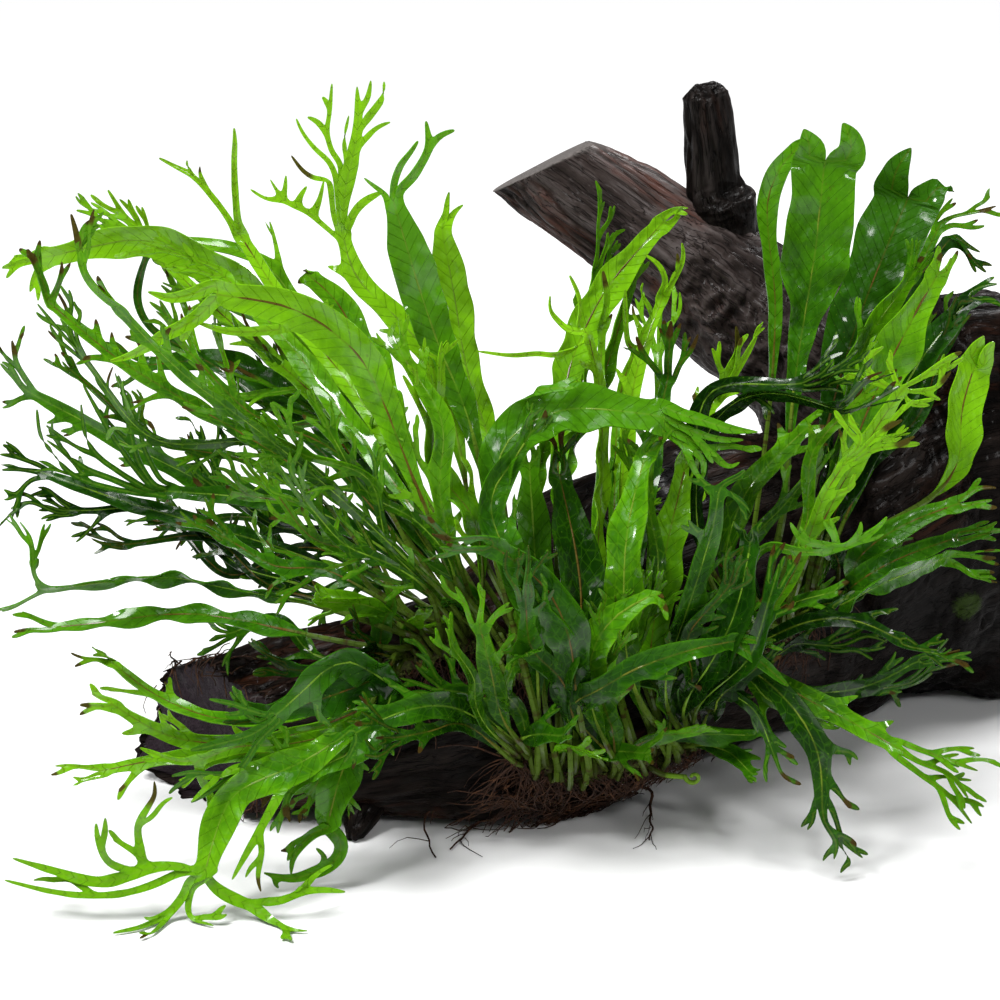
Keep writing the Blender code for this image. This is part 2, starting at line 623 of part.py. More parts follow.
def frond_foot(path, outward, shape, share):
    """Where a stalk leaves its rhizome, and in which direction: those that go forward leave low."""
    normal = outward[min(int(share * len(outward)), len(outward) - 1)]
    upward = path.tangent(share).cross(normal)
    upward *= math.copysign(1, upward.z)
    forward = path.at(share).y * 1000 - shape["route"][0][2]
    turn = math.radians(min(max(STEEPEST_FOOT - FOOT_TURN * forward, LOWEST_FOOT), STEEPEST_FOOT))
    normal = (normal * math.cos(turn) + upward * math.sin(turn)).normalized()
    return path.at(share) + normal * (RHIZOME_RADIUS * 1.12 + GAP * 3), normal


def row_sides(path, rows, stalk, roll):
    """Direction across a frond at each of its rows: the blade faces the viewer, turned by roll, and
    from there the turn changes no more than the bends ask, down the stalk and up to the tip."""
    facing = min(row for row in rows if row > stalk)
    along = path.tangent(facing)
    start = Matrix.Rotation(roll, 3, along) @ along.cross(LOOK).normalized()
    sides = {facing: start}
    middle = rows.index(facing)
    for order in (rows[middle + 1:], rows[:middle][::-1]):
        side = start
        for share in order:
            along = path.tangent(share)
            side = (side - along * side.dot(along)).normalized()
            wanted = Matrix.Rotation(roll, 3, along) @ along.cross(LOOK).normalized()
            if share > stalk and wanted.dot(side) > 0:
                side = (side + wanted * WANTED_SIDE).normalized()
            sides[share] = side
    return [sides[share] for share in rows]


def frond_sheet(shape, foot, wood, lean, twist, swing):
    """Open sheet of a frond; lean moves its tip along the line of sight, in mm."""
    base, outward = foot
    count = len(shape["route"])
    points = [base, base + outward * 0.007]
    for i, (px, py, back) in enumerate(shape["route"]):
        share = (i + 1) / count
        moved = back + lean * share ** 1.3
        py += swing * math.sin(math.pi * share)
        point = place_over_ground(px, py, moved, LOWEST_FROND)
        behind = wood.hit(px, py)
        if behind and (point - EYE).length > behind[2] - WOOD_CLEARANCE:
            point = EYE + ray(px, py).normalized() * (behind[2] - WOOD_CLEARANCE)
        points.append(point)
    path = Path(points, 8)
    end_back = points[-1].y * 1000
    stalk = 0.30 if shape["width"] > 7 else 0.22
    if shape["width"] > NARROW_BLADE:
        rows = [0.0, 0.14, stalk, 0.45, 0.58, 0.71, 0.85, 1.0]
    else:
        rows = [0.0, 0.14, stalk, 0.48, 0.66, 0.84, 1.0]
    for share, _, _ in shape["lobes"]:
        rows = [row for row in rows if abs(row - share) > LOBE_ROOT * 2]
        rows += [share - LOBE_ROOT, share + LOBE_ROOT]
    rows = sorted(rows)
    sides = row_sides(path, rows, stalk, math.radians(shape["roll"] + twist))
    bm = bmesh.new()
    grid = []
    for share, side in zip(rows, sides):
        along = path.tangent(share)
        normal = side.cross(along)
        half = half_width(share, stalk, shape["width"] / 1000)
        centre = path.at(share)
        lift = normal * half * -0.18
        edge = [centre + side * half + lift, centre, centre - side * half + lift]
        edge = [Vector((p.x, p.y, max(p.z, LOWEST_FROND))) for p in edge]
        grid.append((share, [bm.verts.new(p) for p in edge], side, along, normal))
    for (_, low, *_), (_, high, *_) in zip(grid, grid[1:]):
        for k in range(2):
            bm.faces.new((low[k], low[k + 1], high[k + 1], high[k]))
    _, top, side, along, normal = grid[-1]
    targets = [place_over_ground(px, py, end_back, LOWEST_FROND) for px, py in shape["tips"]]
    centre = top[1].co.copy()
    targets.sort(key=lambda p: -math.atan2((p - centre).dot(side), (p - centre).dot(along)))
    if len(targets) != 2:
        spread = len(targets)
        crown = []
        width = (top[0].co - top[2].co).length / 2 + 0.0015
        for k in range(spread + 1):
            across = 1 - 2 * k / spread
            point = centre + side * width * across + along * (0.0015 + 0.003 * (1 - across ** 2))
            point.z = max(point.z, LOWEST_FROND)
            crown.append(bm.verts.new(point))
        bridge(bm, top, crown)
        top = crown
    for k, target in enumerate(targets):
        finger(bm, top[k], top[k + 1], normal, along, target)
    for share, px, py in shape["lobes"]:
        target = place_over_ground(px, py, end_back, LOWEST_FROND)
        lower = max((g for g in grid if g[0] < share), key=lambda g: g[0])
        upper = min((g for g in grid if g[0] > share), key=lambda g: g[0])
        outward_side = (target - lower[1][1].co).dot(lower[2])
        if outward_side > 0:
            finger(bm, lower[1][0], upper[1][0], lower[4], lower[2] + lower[3], target)
        else:
            finger(bm, upper[1][2], lower[1][2], lower[4], lower[3] - lower[2], target)
    bmesh.ops.triangulate(bm, faces=bm.faces)
    return bm


def bmesh_tree(bm):
    """The body's search tree, and how many pairs of its own faces cross."""
    bmesh.ops.recalc_face_normals(bm, faces=bm.faces)
    bmesh.ops.triangulate(bm, faces=bm.faces)
    tree = BVHTree.FromBMesh(bm)
    corners = [set(face.verts) for face in bm.faces]
    crossings = sum(1 for a, b in tree.overlap(tree) if a < b and not corners[a] & corners[b])
    bm.free()
    return tree, crossings


def build_fronds(wood, rhizomes, others):
    """Builds every frond, leaning each one until it is clear of those before it."""
    placed = {ob.name: tree_of(ob) for ob in others}
    for group, shapes in FRONDS.items():
        path, outward = rhizomes[group]
        prefix = {"left": "left", "front": "middle", "right": "right"}[group]
        for index, shape in enumerate(shapes):
            best = None
            name = f"{prefix}_frond_{index + 1:02d}"
            for slide, swing, twist, lean in itertools.product(SLIDES, SWINGS, TWISTS, LEANS):
                foot = frond_foot(path, outward, shape, (index + 0.5 + slide) / len(shapes))
                guard = frond_sheet(shape, foot, wood, lean, twist, swing)
                thicken(guard, BLADE_THICKNESS + GAP * 2)
                guard_tree, crossings = bmesh_tree(guard)
                touched = [key for key, tree in placed.items() if guard_tree.overlap(tree)]
                touched += ["itself"] * min(crossings, 1)
                touched += ["wood"] * wood.overlaps(guard_tree)
                if best is None or len(touched) < len(best[0]):
                    best = (touched, foot, lean, twist, swing)
                if not touched:
                    break
            sheet = frond_sheet(shape, best[1], wood, *best[2:])
            thicken(sheet, BLADE_THICKNESS)
            ob = add_object(name, sheet, shape["colour"], 0.35)
            placed[name] = tree_of(ob)
            print(name, "lean, twist, swing", best[2:], "touches", best[0], "triangles",
                  sum(len(p.vertices) - 2 for p in ob.data.polygons))


def main():
    for ob in list(bpy.data.objects):
        bpy.data.objects.remove(ob)
    pieces = build_driftwood()
    wood = Bark(pieces)
    others = []
    rhizomes = {}
    for name, picture_points in RHIZOMES.items():
        rhizomes[name] = build_rhizome(name, picture_points, wood)
        others.append(bpy.data.objects["rhizome_" + name])
    front_rhizome = bpy.data.objects["rhizome_front"]
    others.append(build_roots(wood, front_rhizome))
    others.append(build_fiddlehead(wood, front_rhizome))
    build_fronds(wood, rhizomes, others)


main()
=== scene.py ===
import math
import random

import bmesh
import bpy
import numpy as np
from mathutils import Matrix, Vector, noise
from mathutils.bvhtree import BVHTree


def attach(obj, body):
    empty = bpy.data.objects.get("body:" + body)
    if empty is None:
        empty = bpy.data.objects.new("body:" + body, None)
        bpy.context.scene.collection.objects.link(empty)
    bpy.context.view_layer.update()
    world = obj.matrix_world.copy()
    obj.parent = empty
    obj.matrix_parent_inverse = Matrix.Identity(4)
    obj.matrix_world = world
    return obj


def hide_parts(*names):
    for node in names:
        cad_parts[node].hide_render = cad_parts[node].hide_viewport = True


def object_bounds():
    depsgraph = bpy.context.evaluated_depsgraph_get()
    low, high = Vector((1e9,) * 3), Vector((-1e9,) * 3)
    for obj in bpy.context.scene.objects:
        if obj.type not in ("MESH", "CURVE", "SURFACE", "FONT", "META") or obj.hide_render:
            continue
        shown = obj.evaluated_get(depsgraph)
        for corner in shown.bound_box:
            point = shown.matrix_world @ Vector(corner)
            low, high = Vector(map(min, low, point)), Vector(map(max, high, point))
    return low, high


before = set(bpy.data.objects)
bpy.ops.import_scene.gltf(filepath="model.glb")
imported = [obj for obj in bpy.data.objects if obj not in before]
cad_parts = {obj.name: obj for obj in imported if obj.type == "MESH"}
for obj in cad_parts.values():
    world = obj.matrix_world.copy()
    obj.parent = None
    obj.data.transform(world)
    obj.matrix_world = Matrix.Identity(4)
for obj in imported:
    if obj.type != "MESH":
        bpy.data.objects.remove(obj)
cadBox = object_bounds()
bpy.ops.object.select_all(action="DESELECT")

# Routes are read from a 1000 x 1000 picture, seen from the camera
view = {
    "aim": Vector((-0.045, 0.0, 0.11)),
    "distance": 0.90,
    "rise": math.radians(18),
    "pixels": 2250,            # picture points for a slope of 1
    "middle": 500,
}
look = Vector((0, math.cos(view["rise"]), -math.sin(view["rise"])))
right = Vector((1, 0, 0))
up = right.cross(look)
eye = view["aim"] - look * view["distance"]


def lineTo(px, py):
    across = (px - view["middle"]) / view["pixels"]
    upward = (view["middle"] - py) / view["pixels"]
    return look + right * across + up * upward


def place(px, py, back):       # back is mm behind the origin
    line = lineTo(px, py)
    return eye + line * ((back / 1000 - eye.y) / line.y)


def placeAbove(px, py, back, lowest):
    point = place(px, py, back)
    if point.z < lowest:
        line = lineTo(px, py)
        point = eye + line * ((lowest - eye.z) / line.z)
    return point


def smoothRows(table, steps):  # Catmull-Rom rows through the table's rows
    rows = np.array([tuple(row) for row in table], dtype=float)
    ends = np.vstack([rows[0] * 2 - rows[1], rows, rows[-1] * 2 - rows[-2]])
    out = []
    for a, b, c, d in zip(ends, ends[1:], ends[2:], ends[3:]):
        for i in range(steps):
            t = i / steps
            out.append(0.5 * (2 * b + (c - a) * t + (2 * a - 5 * b + 4 * c - d) * t * t
                              + (3 * b - a - 3 * c + d) * t ** 3))
    out.append(rows[-1])
    return np.array(out)


class Route:                   # a smooth line, read by its share of length
    def __init__(self, points, steps=10):
        self.points = smoothRows(points, steps)
        gaps = np.linalg.norm(np.diff(self.points, axis=0), axis=1)
        self.reach = np.concatenate([[0.0], np.cumsum(gaps)])
        self.length = self.reach[-1]

    def at(self, share):
        goal = min(max(share, 0.0), 1.0) * self.length
        return Vector([np.interp(goal, self.reach, self.points[:, k]) for k in range(3)])

    def along(self, share):
        return (self.at(share + 0.02) - self.at(share - 0.02)).normalized()


# Shader maths as plain sums: each Value is a socket
class Value:
    def __init__(self, finish, socket):
        self.finish = finish
        self.socket = socket

    def math(self, operation, *others):
        return self.finish.node("ShaderNodeMath", {"operation": operation},
                                dict(enumerate((self,) + others)))

    def __add__(self, other):
        return self.math("ADD", other)

    def __mul__(self, other):
        return self.math("MULTIPLY", other)

    def __sub__(self, other):
        return self.math("SUBTRACT", other)

    def __rsub__(self, other):
        return self.finish.node("ShaderNodeMath", {"operation": "SUBTRACT"}, {0: other, 1: self})

    __radd__ = __add__
    __rmul__ = __mul__

    def between(self, low, high):      # 0 at low, 1 at high, smooth
        return self.finish.node("ShaderNodeMapRange", {"interpolation_type": "SMOOTHSTEP"},
                                {0: self, 1: low, 2: high, 3: 0.0, 4: 1.0})


class Finish:                  # one material and its nodes
    def __init__(self, name):
        self.material = bpy.data.materials.new(name)
        self.material.use_nodes = True
        self.tree = self.material.node_tree
        self.tree.nodes.clear()

    def node(self, kind, settings=None, inputs=None, output=0):
        made = self.tree.nodes.new(kind)
        for key, value in (settings or {}).items():
            if key == "stops":
                self.setStops(made.color_ramp, value)
            else:
                setattr(made, key, value)
        for key, value in (inputs or {}).items():
            if isinstance(value, Value):
                self.tree.links.new(value.socket, made.inputs[key])
            else:
                made.inputs[key].default_value = value
        return Value(self, made.outputs[output])

    def setStops(self, ramp, stops):
        while len(ramp.elements) < len(stops):
            ramp.elements.new(0.5)
        for element, (position, colour) in zip(ramp.elements, stops):
            element.position = position
            element.color = (*colour, 1)

    def reading(self, name, output="Vector"):
        return self.node("ShaderNodeAttribute", {"attribute_name": name}, output=output)

    def parts(self, vector):
        first = self.node("ShaderNodeSeparateXYZ", inputs={0: vector})
        return [Value(self, socket) for socket in first.socket.node.outputs]

    def scaled(self, vector, amounts):
        return self.node("ShaderNodeVectorMath", {"operation": "MULTIPLY"},
                         {0: vector, 1: amounts})

    def noise(self, vector, scale, detail, roughness):
        return self.node("ShaderNodeTexNoise", inputs={"Vector": vector, "Scale": scale,
                                                       "Detail": detail, "Roughness": roughness})

    def cells(self, vector, scale, feature):
        return self.node("ShaderNodeTexVoronoi", {"feature": feature},
                         {"Vector": vector, "Scale": scale})

    def mix(self, share, first, second):
        colours = [c if isinstance(c, Value) else (*c, 1) for c in (first, second)]
        return self.node("ShaderNodeMix", {"data_type": "RGBA"},
                         {0: share, 6: colours[0], 7: colours[1]}, output=2)

    def ramp(self, share, stops):
        return self.node("ShaderNodeValToRGB", {"stops": stops}, {0: share})

    def bump(self, height, distance, strength):
        return self.node("ShaderNodeBump", inputs={"Height": height, "Distance": distance,
                                                   "Strength": strength})

    def surface(self, inputs):
        shader = self.node("ShaderNodeBsdfPrincipled", inputs=inputs)
        end = self.tree.nodes.new("ShaderNodeOutputMaterial")
        self.tree.links.new(shader.socket, end.inputs["Surface"])
        return self.material


def dimmed(colour, share):
    return tuple(c * share for c in colour)


# tones of each bark; inward is how much painted shade darkens it towards the fork, shine its
# wetness
barkTones = {
    "wet": {"deep": (0.0012, 0.0008, 0.0006), "middle": (0.0056, 0.0036, 0.0028),
            "high": (0.023, 0.016, 0.0130), "rust": (0.040, 0.013, 0.006),
            "rough": 0.42, "inward": 0.0, "shine": 0.05},
    "weathered": {"deep": (0.0065, 0.0045, 0.0040), "middle": (0.036, 0.0265, 0.0240),
                  "high": (0.125, 0.106, 0.102), "rust": (0.085, 0.032, 0.022),
                  "rough": 0.50, "inward": 0.80, "shine": 0.08},
    "soaked": {"deep": (0.0012, 0.0009, 0.0007), "middle": (0.0060, 0.0042, 0.0035),
               "high": (0.034, 0.028, 0.026), "rust": (0.026, 0.010, 0.006),
               "rough": 0.44, "inward": 0.0, "shine": 0.07},
}
woodFaces = {"broken": (0.022, 0.015, 0.019), "sawn": (0.155, 0.138, 0.130),
             "moss": (0.020, 0.038, 0.004)}


def barkFinish(name, tones):
    f = Finish(name)
    grain = f.reading("grain")                     # across, up and along the limb, metres
    broken, sawn, moss = f.parts(f.reading("marks"))
    streaks = f.noise(f.scaled(grain, (1, 1, 0.09)), 260.0, 5.0, 0.62)
    patches = f.noise(f.scaled(grain, (1, 1, 0.40)), 30.0, 4.0, 0.6)
    fine = f.noise(f.scaled(grain, (1, 1, 0.28)), 900.0, 3.0, 0.6)
    cracks = f.noise(f.scaled(grain, (1, 1, 0.05)), 420.0, 2.0, 0.5)
    crackLine = 1 - (cracks - 0.5).math("ABSOLUTE").between(0.0, 0.030)
    depth = f.reading("relief", "Fac")             # 0 in a groove, 1 on a ridge
    height = depth * 0.60 + streaks * 0.42 + patches * 0.42 - 0.24
    colour = f.ramp(height, [(0.20, tones["deep"]), (0.48, tones["middle"]),
                             (0.82, tones["high"])])
    rust = patches.between(0.50, 0.66) * streaks.between(0.40, 0.60) * 0.85
    colour = f.mix(rust, colour, tones["rust"])
    colour = f.mix(crackLine * 0.65, colour, tones["deep"])
    colour = f.mix(fine.between(0.58, 0.76) * 0.40, colour, tones["high"])
    away, _, high = f.parts(f.node("ShaderNodeTexCoord", output="Object"))
    # painted shadow: low on the trunk's right side, under the right fronds, the bark darkens to
    # its deep tone
    paintedShadow = away.between(0.07, 0.15) * (1 - high.between(0.075, 0.115))
    colour = f.mix(paintedShadow * 0.85, colour, tones["deep"])
    # painted shade: the bark darkens towards the fork, as far as its inward share
    colour = f.mix(away.between(0.035, 0.125) * tones["inward"], colour, tones["deep"])
    pits = f.noise(grain, 650.0, 4.0, 0.65)
    face = f.mix(pits, dimmed(woodFaces["broken"], 0.35), dimmed(woodFaces["broken"], 1.7))
    colour = f.mix(broken, colour, face)
    saw = f.noise(f.scaled(grain, (1, 0.12, 1)), 500.0, 2.0, 0.5)
    cutFace = f.mix(saw, dimmed(woodFaces["sawn"], 0.60), dimmed(woodFaces["sawn"], 1.15))
    colour = f.mix(sawn, colour, cutFace)
    tuft = f.noise(grain, 700.0, 3.0, 0.7)
    colour = f.mix((moss * 1.6 - tuft * 0.9).between(0.1, 0.5) * 0.85, colour, woodFaces["moss"])
    rough = tones["rough"] + fine * 0.30 - patches * 0.24 + sawn * 0.2
    relief = streaks * 0.7 + fine * 0.35 - crackLine * 0.6 + pits * broken * 0.6
    return f.surface({"Base Color": colour, "Roughness": rough, "IOR": 1.45,
                      "Specular IOR Level": tones["shine"], "Coat Weight": tones["shine"] * 0.7,
                      "Coat Roughness": 0.14, "Normal": f.bump(relief, 0.0012, 0.9)})


leafTones = {
    "bright": {"base": (0.072, 0.245, 0.0025), "light": (0.175, 0.430, 0.006),
               "shade": (0.028, 0.125, 0.002), "deep": (0.008, 0.042, 0.001)},
    "mid": {"base": (0.025, 0.112, 0.0022), "light": (0.080, 0.270, 0.004),
            "shade": (0.0080, 0.050, 0.0012), "deep": (0.0034, 0.020, 0.0007)},
    "dark": {"base": (0.012, 0.066, 0.0018), "light": (0.036, 0.145, 0.0036),
             "shade": (0.0036, 0.025, 0.0008), "deep": (0.0016, 0.010, 0.0004)},
}
leafMarks = {"ribPale": (0.135, 0.260, 0.018), "ribBrown": (0.095, 0.062, 0.009),
             "stalk": (0.062, 0.112, 0.009), "stalkSpot": (0.038, 0.020, 0.006),
             "foot": (0.016, 0.014, 0.003), "spore": (0.040, 0.022, 0.006),
             "withered": (0.046, 0.022, 0.004)}


def leafFinish(name, tones):
    f = Finish(name)
    where = f.reading("leafPlace")         # across and along the frond, metres, and its seed
    across, along, seed = f.parts(where)
    rim, brown, tone = f.parts(f.reading("leafLook"))
    stem = f.reading("stem", "Fac")
    blade = 1 - stem
    cloud = f.noise(where, 60.0, 2.0, 0.55)
    mottle = f.noise(f.scaled(where, (1, 0.6, 1)), 420.0, 2.0, 0.6)
    blister = f.noise(f.scaled(where, (1, 0.8, 1)), 230.0, 1.0, 0.5)
    veins = f.cells(f.scaled(where, (1, 0.55, 1)), 330.0, "DISTANCE_TO_EDGE")
    veinLine = 1 - veins.between(0.0, 0.09)
    offRib = across.math("ABSOLUTE")
    ribs = along * 620.0 - offRib * 700.0          # side veins slant forward from the midrib
    sideVein = 1 - (ribs.math("SINE").math("ABSOLUTE")).between(0.0, 0.16)
    colour = f.mix((cloud + blister * 0.3 - 0.15).between(0.30, 0.70), tones["shade"],
                   tones["base"])
    # painted light: a high tone, from the frond's light and its place along the blade, lightens
    # the colour
    colour = f.mix((tone + mottle * 0.30 - 0.25).between(0.0, 1.0), colour, tones["light"])
    # painted light: blade edges lighter, as if lit through
    colour = f.mix(rim.between(0.70, 1.0) * 0.22, colour, tones["light"])
    # painted shade: a negative tone, low in the blade and on darker companions, darkens towards
    # the deep tone
    colour = f.mix((tone * -1).between(0.0, 0.45) * 0.85, colour, tones["deep"])
    colour = f.mix((veinLine * 0.14 + sideVein * 0.15) * blade, colour, tones["light"])
    freckle = f.cells(f.scaled(where, (1, 0.8, 1)), 520.0, "F1")
    speck = 1 - freckle.between(0.06, 0.14)
    colour = f.mix(speck * cloud.between(0.40, 0.55) * 0.5, colour, leafMarks["ribPale"])
    spores = (1 - freckle.between(0.18, 0.34)) * cloud.between(0.56, 0.64) \
        * offRib.between(0.0006, 0.0016) * (1 - rim.between(0.45, 0.7))
    colour = f.mix(spores * 0.30, colour, leafMarks["spore"])
    ribHue = f.mix((seed * 3.7).math("SINE").between(-0.5, 0.6), leafMarks["ribPale"],
                   leafMarks["ribBrown"])
    stalkHue = f.mix(mottle.between(0.56, 0.68) * 0.8, leafMarks["stalk"], leafMarks["stalkSpot"])
    stalkHue = f.mix((1 - along.between(0.001, 0.020)) * 0.85, stalkHue, leafMarks["foot"])
    stemHue = f.mix(brown, ribHue, stalkHue)       # brown reads 1 on a stem below the blade
    ribLine = 1 - offRib.between(0.00005, 0.00055)
    colour = f.mix(ribLine * 0.32 * blade, colour, ribHue)
    withered = (brown * 1.5 + mottle * 0.6 - 0.55).between(0.0, 0.55) * blade
    colour = f.mix(withered * 0.92, colour, leafMarks["withered"])
    colour = f.mix(stem, colour, stemHue)
    rough = 0.15 + mottle * 0.22 + withered * 0.35 + stem * 0.12
    swell = f.noise(f.scaled(where, (1, 0.7, 1)), 120.0, 1.0, 0.5)
    film = f.noise(f.scaled(where, (1, 0.5, 1)), 85.0, 2.0, 0.6) + sideVein * 0.05
    wet = film.between(0.50, 0.60) * (1 - withered)
    height = mottle * 0.16 - sideVein * 0.40 + blister * 1.3 + swell * 3.0
    return f.surface({"Base Color": colour, "Roughness": rough, "IOR": 1.42,
                      "Specular IOR Level": 0.06, "Coat Weight": 0.03 + wet * 0.50,
                      "Coat Roughness": 0.08, "Normal": f.bump(height, 0.0008, 0.9)})


# stops run from hollow to ridge; lump is how much the patches stand out
fibreLooks = {
    "rhizomeSkin": {"patches": (160.0, 4.0, 0.6), "fine": (1300.0, 3.0, 0.65), "share": 0.65,
                    "shine": 0.15, "lump": 0.5, "bump": (0.0005, 0.8),
                    "stops": [(0.32, (0.010, 0.007, 0.003)), (0.47, (0.034, 0.036, 0.007)),
                              (0.62, (0.100, 0.140, 0.018)), (0.85, (0.190, 0.230, 0.050))]},
    "rootFibre": {"patches": (210.0, 3.0, 0.6), "fine": (1600.0, 2.0, 0.6), "share": 0.7,
                  "shine": 0.2, "lump": 0.0, "bump": (0.0003, 0.6),
                  "stops": [(0.32, (0.006, 0.0025, 0.0014)), (0.52, (0.034, 0.013, 0.0055)),
                            (0.78, (0.135, 0.056, 0.020))]},
}


def fibreFinish(name):
    f = Finish(name)
    looks = fibreLooks[name]
    spot = f.node("ShaderNodeTexCoord", output="Object")
    patches, fine = f.noise(spot, *looks["patches"]), f.noise(spot, *looks["fine"])
    colour = f.ramp(patches * looks["share"] + fine * (1 - looks["share"]), looks["stops"])
    return f.surface({"Base Color": colour, "Roughness": 0.55 + fine * 0.2,
                      "Specular IOR Level": looks["shine"],
                      "Normal": f.bump(fine + patches * looks["lump"], *looks["bump"])})


wetBark, weatheredBark, soakedBark = (barkFinish(key + "Bark", tones)
                                      for key, tones in barkTones.items())
leafFinishes = {key: leafFinish(key + "Leaf", tones) for key, tones in leafTones.items()}
rhizomeSkin, rootFibre = (fibreFinish(key) for key in fibreLooks)
print("finishes ready")


def nodeTree(*names):          # one search tree over several CAD nodes
    points, faces = [], []
    for name in names:
        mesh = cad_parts[name].data
        start = len(points)
        points += [v.co.copy() for v in mesh.vertices]
        faces += [[start + v for v in p.vertices] for p in mesh.polygons]
    return BVHTree.FromPolygons(points, faces)


woodTree = nodeTree("lower_limb", "trunk", "upper_limb", "upright_stub")


def insideWood(point):
    crossings, start = 0, point.copy()
    while crossings < 8:
        hit, _, _, _ = woodTree.ray_cast(start, Vector((0.02, 0.01, 1)).normalized())
        if hit is None:
            break
        crossings += 1
        start = hit + Vector((0, 0, 0.00002))
    return crossings % 2 == 1


def clearOfWood(point, distance):
    near, normal, _, gap = woodTree.find_nearest(point)
    if insideWood(point):
        return near + normal * distance
    if gap < distance:
        return near + ((point - near).normalized() if gap > 1e-6 else normal) * distance
    return point


driftwood = {
    # the lying log: picture point across, mm back, half height and half depth in mm
    "log": [(214, -46, 30, 32), (300, -44, 35, 35), (400, -44, 41, 41), (465, -43, 48, 46),
            (550, -31, 58, 54), (640, 0, 64, 58), (730, 35, 64, 60), (790, 51, 65, 61),
            (835, 58, 76, 64), (885, 69.5, 87, 64.5), (945, 80, 91, 64), (1000, 88, 87, 64),
            (1036, 93, 82, 60)],
    "forkStation": 7,
    "axisShare": 0.93,         # height of the log's axis, as a share of its half height
    "leftEndTurn": Vector((0.62, -0.78, 0.0)),
    # limbs: picture point, mm back, radius in mm
    "upperLimb": [(538, 163, 120, 21), (600, 205, 118, 24), (660, 246, 115, 27),
                  (715, 286, 110, 31), (770, 326, 102, 35), (820, 352, 92, 41),
                  (870, 394, 76, 38), (925, 462, 60, 28)],
    "sawCut": [(493, 187, 140), (586, 140, 140), (526, 177, 100)],
    "stub": [(735, 262, 112, 13), (726, 224, 112, 15), (720, 206, 112, 17), (717, 196, 112, 14.5),
             (714, 182, 112, 12.6), (712, 150, 112, 12), (706, 104, 112, 11), (704.5, 92, 112, 10),
             (704, 86, 112, 8), (703.5, 82.5, 112, 4.5)],
    "stubBevel": [(677, 104, 112), (699, 80, 112), (686, 94, 99)],
    "foot": [(372, 790, -62, 9), (362, 815, -74, 7), (354, 832, -80, 5), (352, 840, -82, 2.5)],
    "bulges": [(176, 752, 62, 0.0125), (158, 762, 24, 0.0050), (168, 700, 22, 0.0032),
               (196, 792, 26, 0.0045)],          # picture point, pixels across, metres out
    "burrs": [(704, 292, 27, 0.0026), (752, 334, 36, 0.0036), (800, 400, 30, 0.0030),
              (672, 296, 12, 0.0022), (618, 235, 9, 0.0016)],
    "moss": [(968, 606, 0.011), (748, 434, 0.010)],      # picture point, metres across
    "collar": [((712, 206, 100), 0.011, 0.0026), ((735, 205, 100), 0.012, 0.0030)],
    "bulgeReach": 0.030,       # how far they reach in from the end
    "rows": 3,                 # rings between stations
    "sides": 24,
    "subdivision": 3,
    "sunk": (0.988, 0.94),     # the fork's ends, sunk into each other so that no seam shows
    "rims": {"broken": 0.012, "cut": 0.004, "sawn": 0.005},
    "faceDepth": 0.005,
    "flatUnder": 0.0025,       # bark lower than this is pressed flat on the floor
    "seed": 3.1,
    # the shorter limbs; calm is how much of the bark's relief is left
    "limbs": {"foot": {"name": "logFoot", "sides": 12, "swell": 1.1, "rim": 0.0005,
                       "insets": (0.0006,), "levels": 2, "seed": 5.0, "calm": 0.5},
              "upperLimb": {"name": "upperWood", "sides": 22, "swell": 2.3, "rim": 0.0010,
                            "insets": (0.006, 0.008), "levels": 3, "seed": 7.7, "calm": 0.85},
              "stub": {"name": "stubWood", "sides": 18, "swell": 3.9, "rim": 0.0008,
                       "insets": (0.0015,), "levels": 2, "seed": 9.4, "calm": 0.6}},
    "groove": 0.0024,          # depth of the deepest bark grooves
    "lump": 0.0019,
    "rimRaggedness": 0.0046,
}


def lumps(turn, along, seed):  # slow swells of the bark, as a share of the radius
    return (1 + 0.050 * math.sin(3 * turn + 2.1 * along + seed)
            + 0.035 * math.sin(5 * turn - 3.3 * along + 1.7 * seed)
            + 0.030 * math.sin(2 * turn + 7.0 * along + 0.6 * seed))


def logStation(px, back, halfHeight, halfDepth):
    height = driftwood["axisShare"] * halfHeight / 1000
    y = back / 1000
    depth = (Vector((0, y, height)) - eye).dot(look)
    x = eye.x + (px - view["middle"]) / view["pixels"] * depth
    return x, y, height, halfHeight / 1000, halfDepth / 1000


def logRings(axis, sides, stations):
    rings = []
    for i, (x, y, z, halfHeight, halfDepth) in enumerate(axis):
        ahead = Vector(axis[min(i + 1, len(axis) - 1)][:3] - axis[max(i - 1, 0)][:3])
        across = Vector((ahead.y, -ahead.x, 0)).normalized()
        if i == 0:
            turned = driftwood["leftEndTurn"]
            across = turned / abs(turned.y)
        share = i / (len(axis) - 1) * stations * 4 / (stations * 4 + 1)
        ring = []
        for k in range(sides):
            turn = 2 * math.pi * k / sides
            swell = lumps(turn, 9 * share, 0.4)
            point = Vector((x, y, z)) + across * math.cos(turn) * halfDepth * swell
            point.z = max(point.z + math.sin(turn) * halfHeight * swell, 0.0)
            ring.append(point)
        rings.append(ring)
    rings[1] = [(a + b) / 2 for a, b in zip(rings[0], rings[2])]
    return rings


def planeThrough(spots):       # a point on the plane and its normal, turned up
    a, b, c = (place(*spot) for spot in spots)
    normal = (b - a).cross(c - a).normalized()
    return a, normal if normal.z > 0 else -normal


def carriedSide(side, points, i):      # the way along at a point, and two ways across it
    ahead = (points[min(i + 1, len(points) - 1)] - points[max(i - 1, 0)]).normalized()
    side = ahead.orthogonal() if side is None else side - ahead * side.dot(ahead)
    side.normalize()
    return ahead, side, ahead.cross(side)


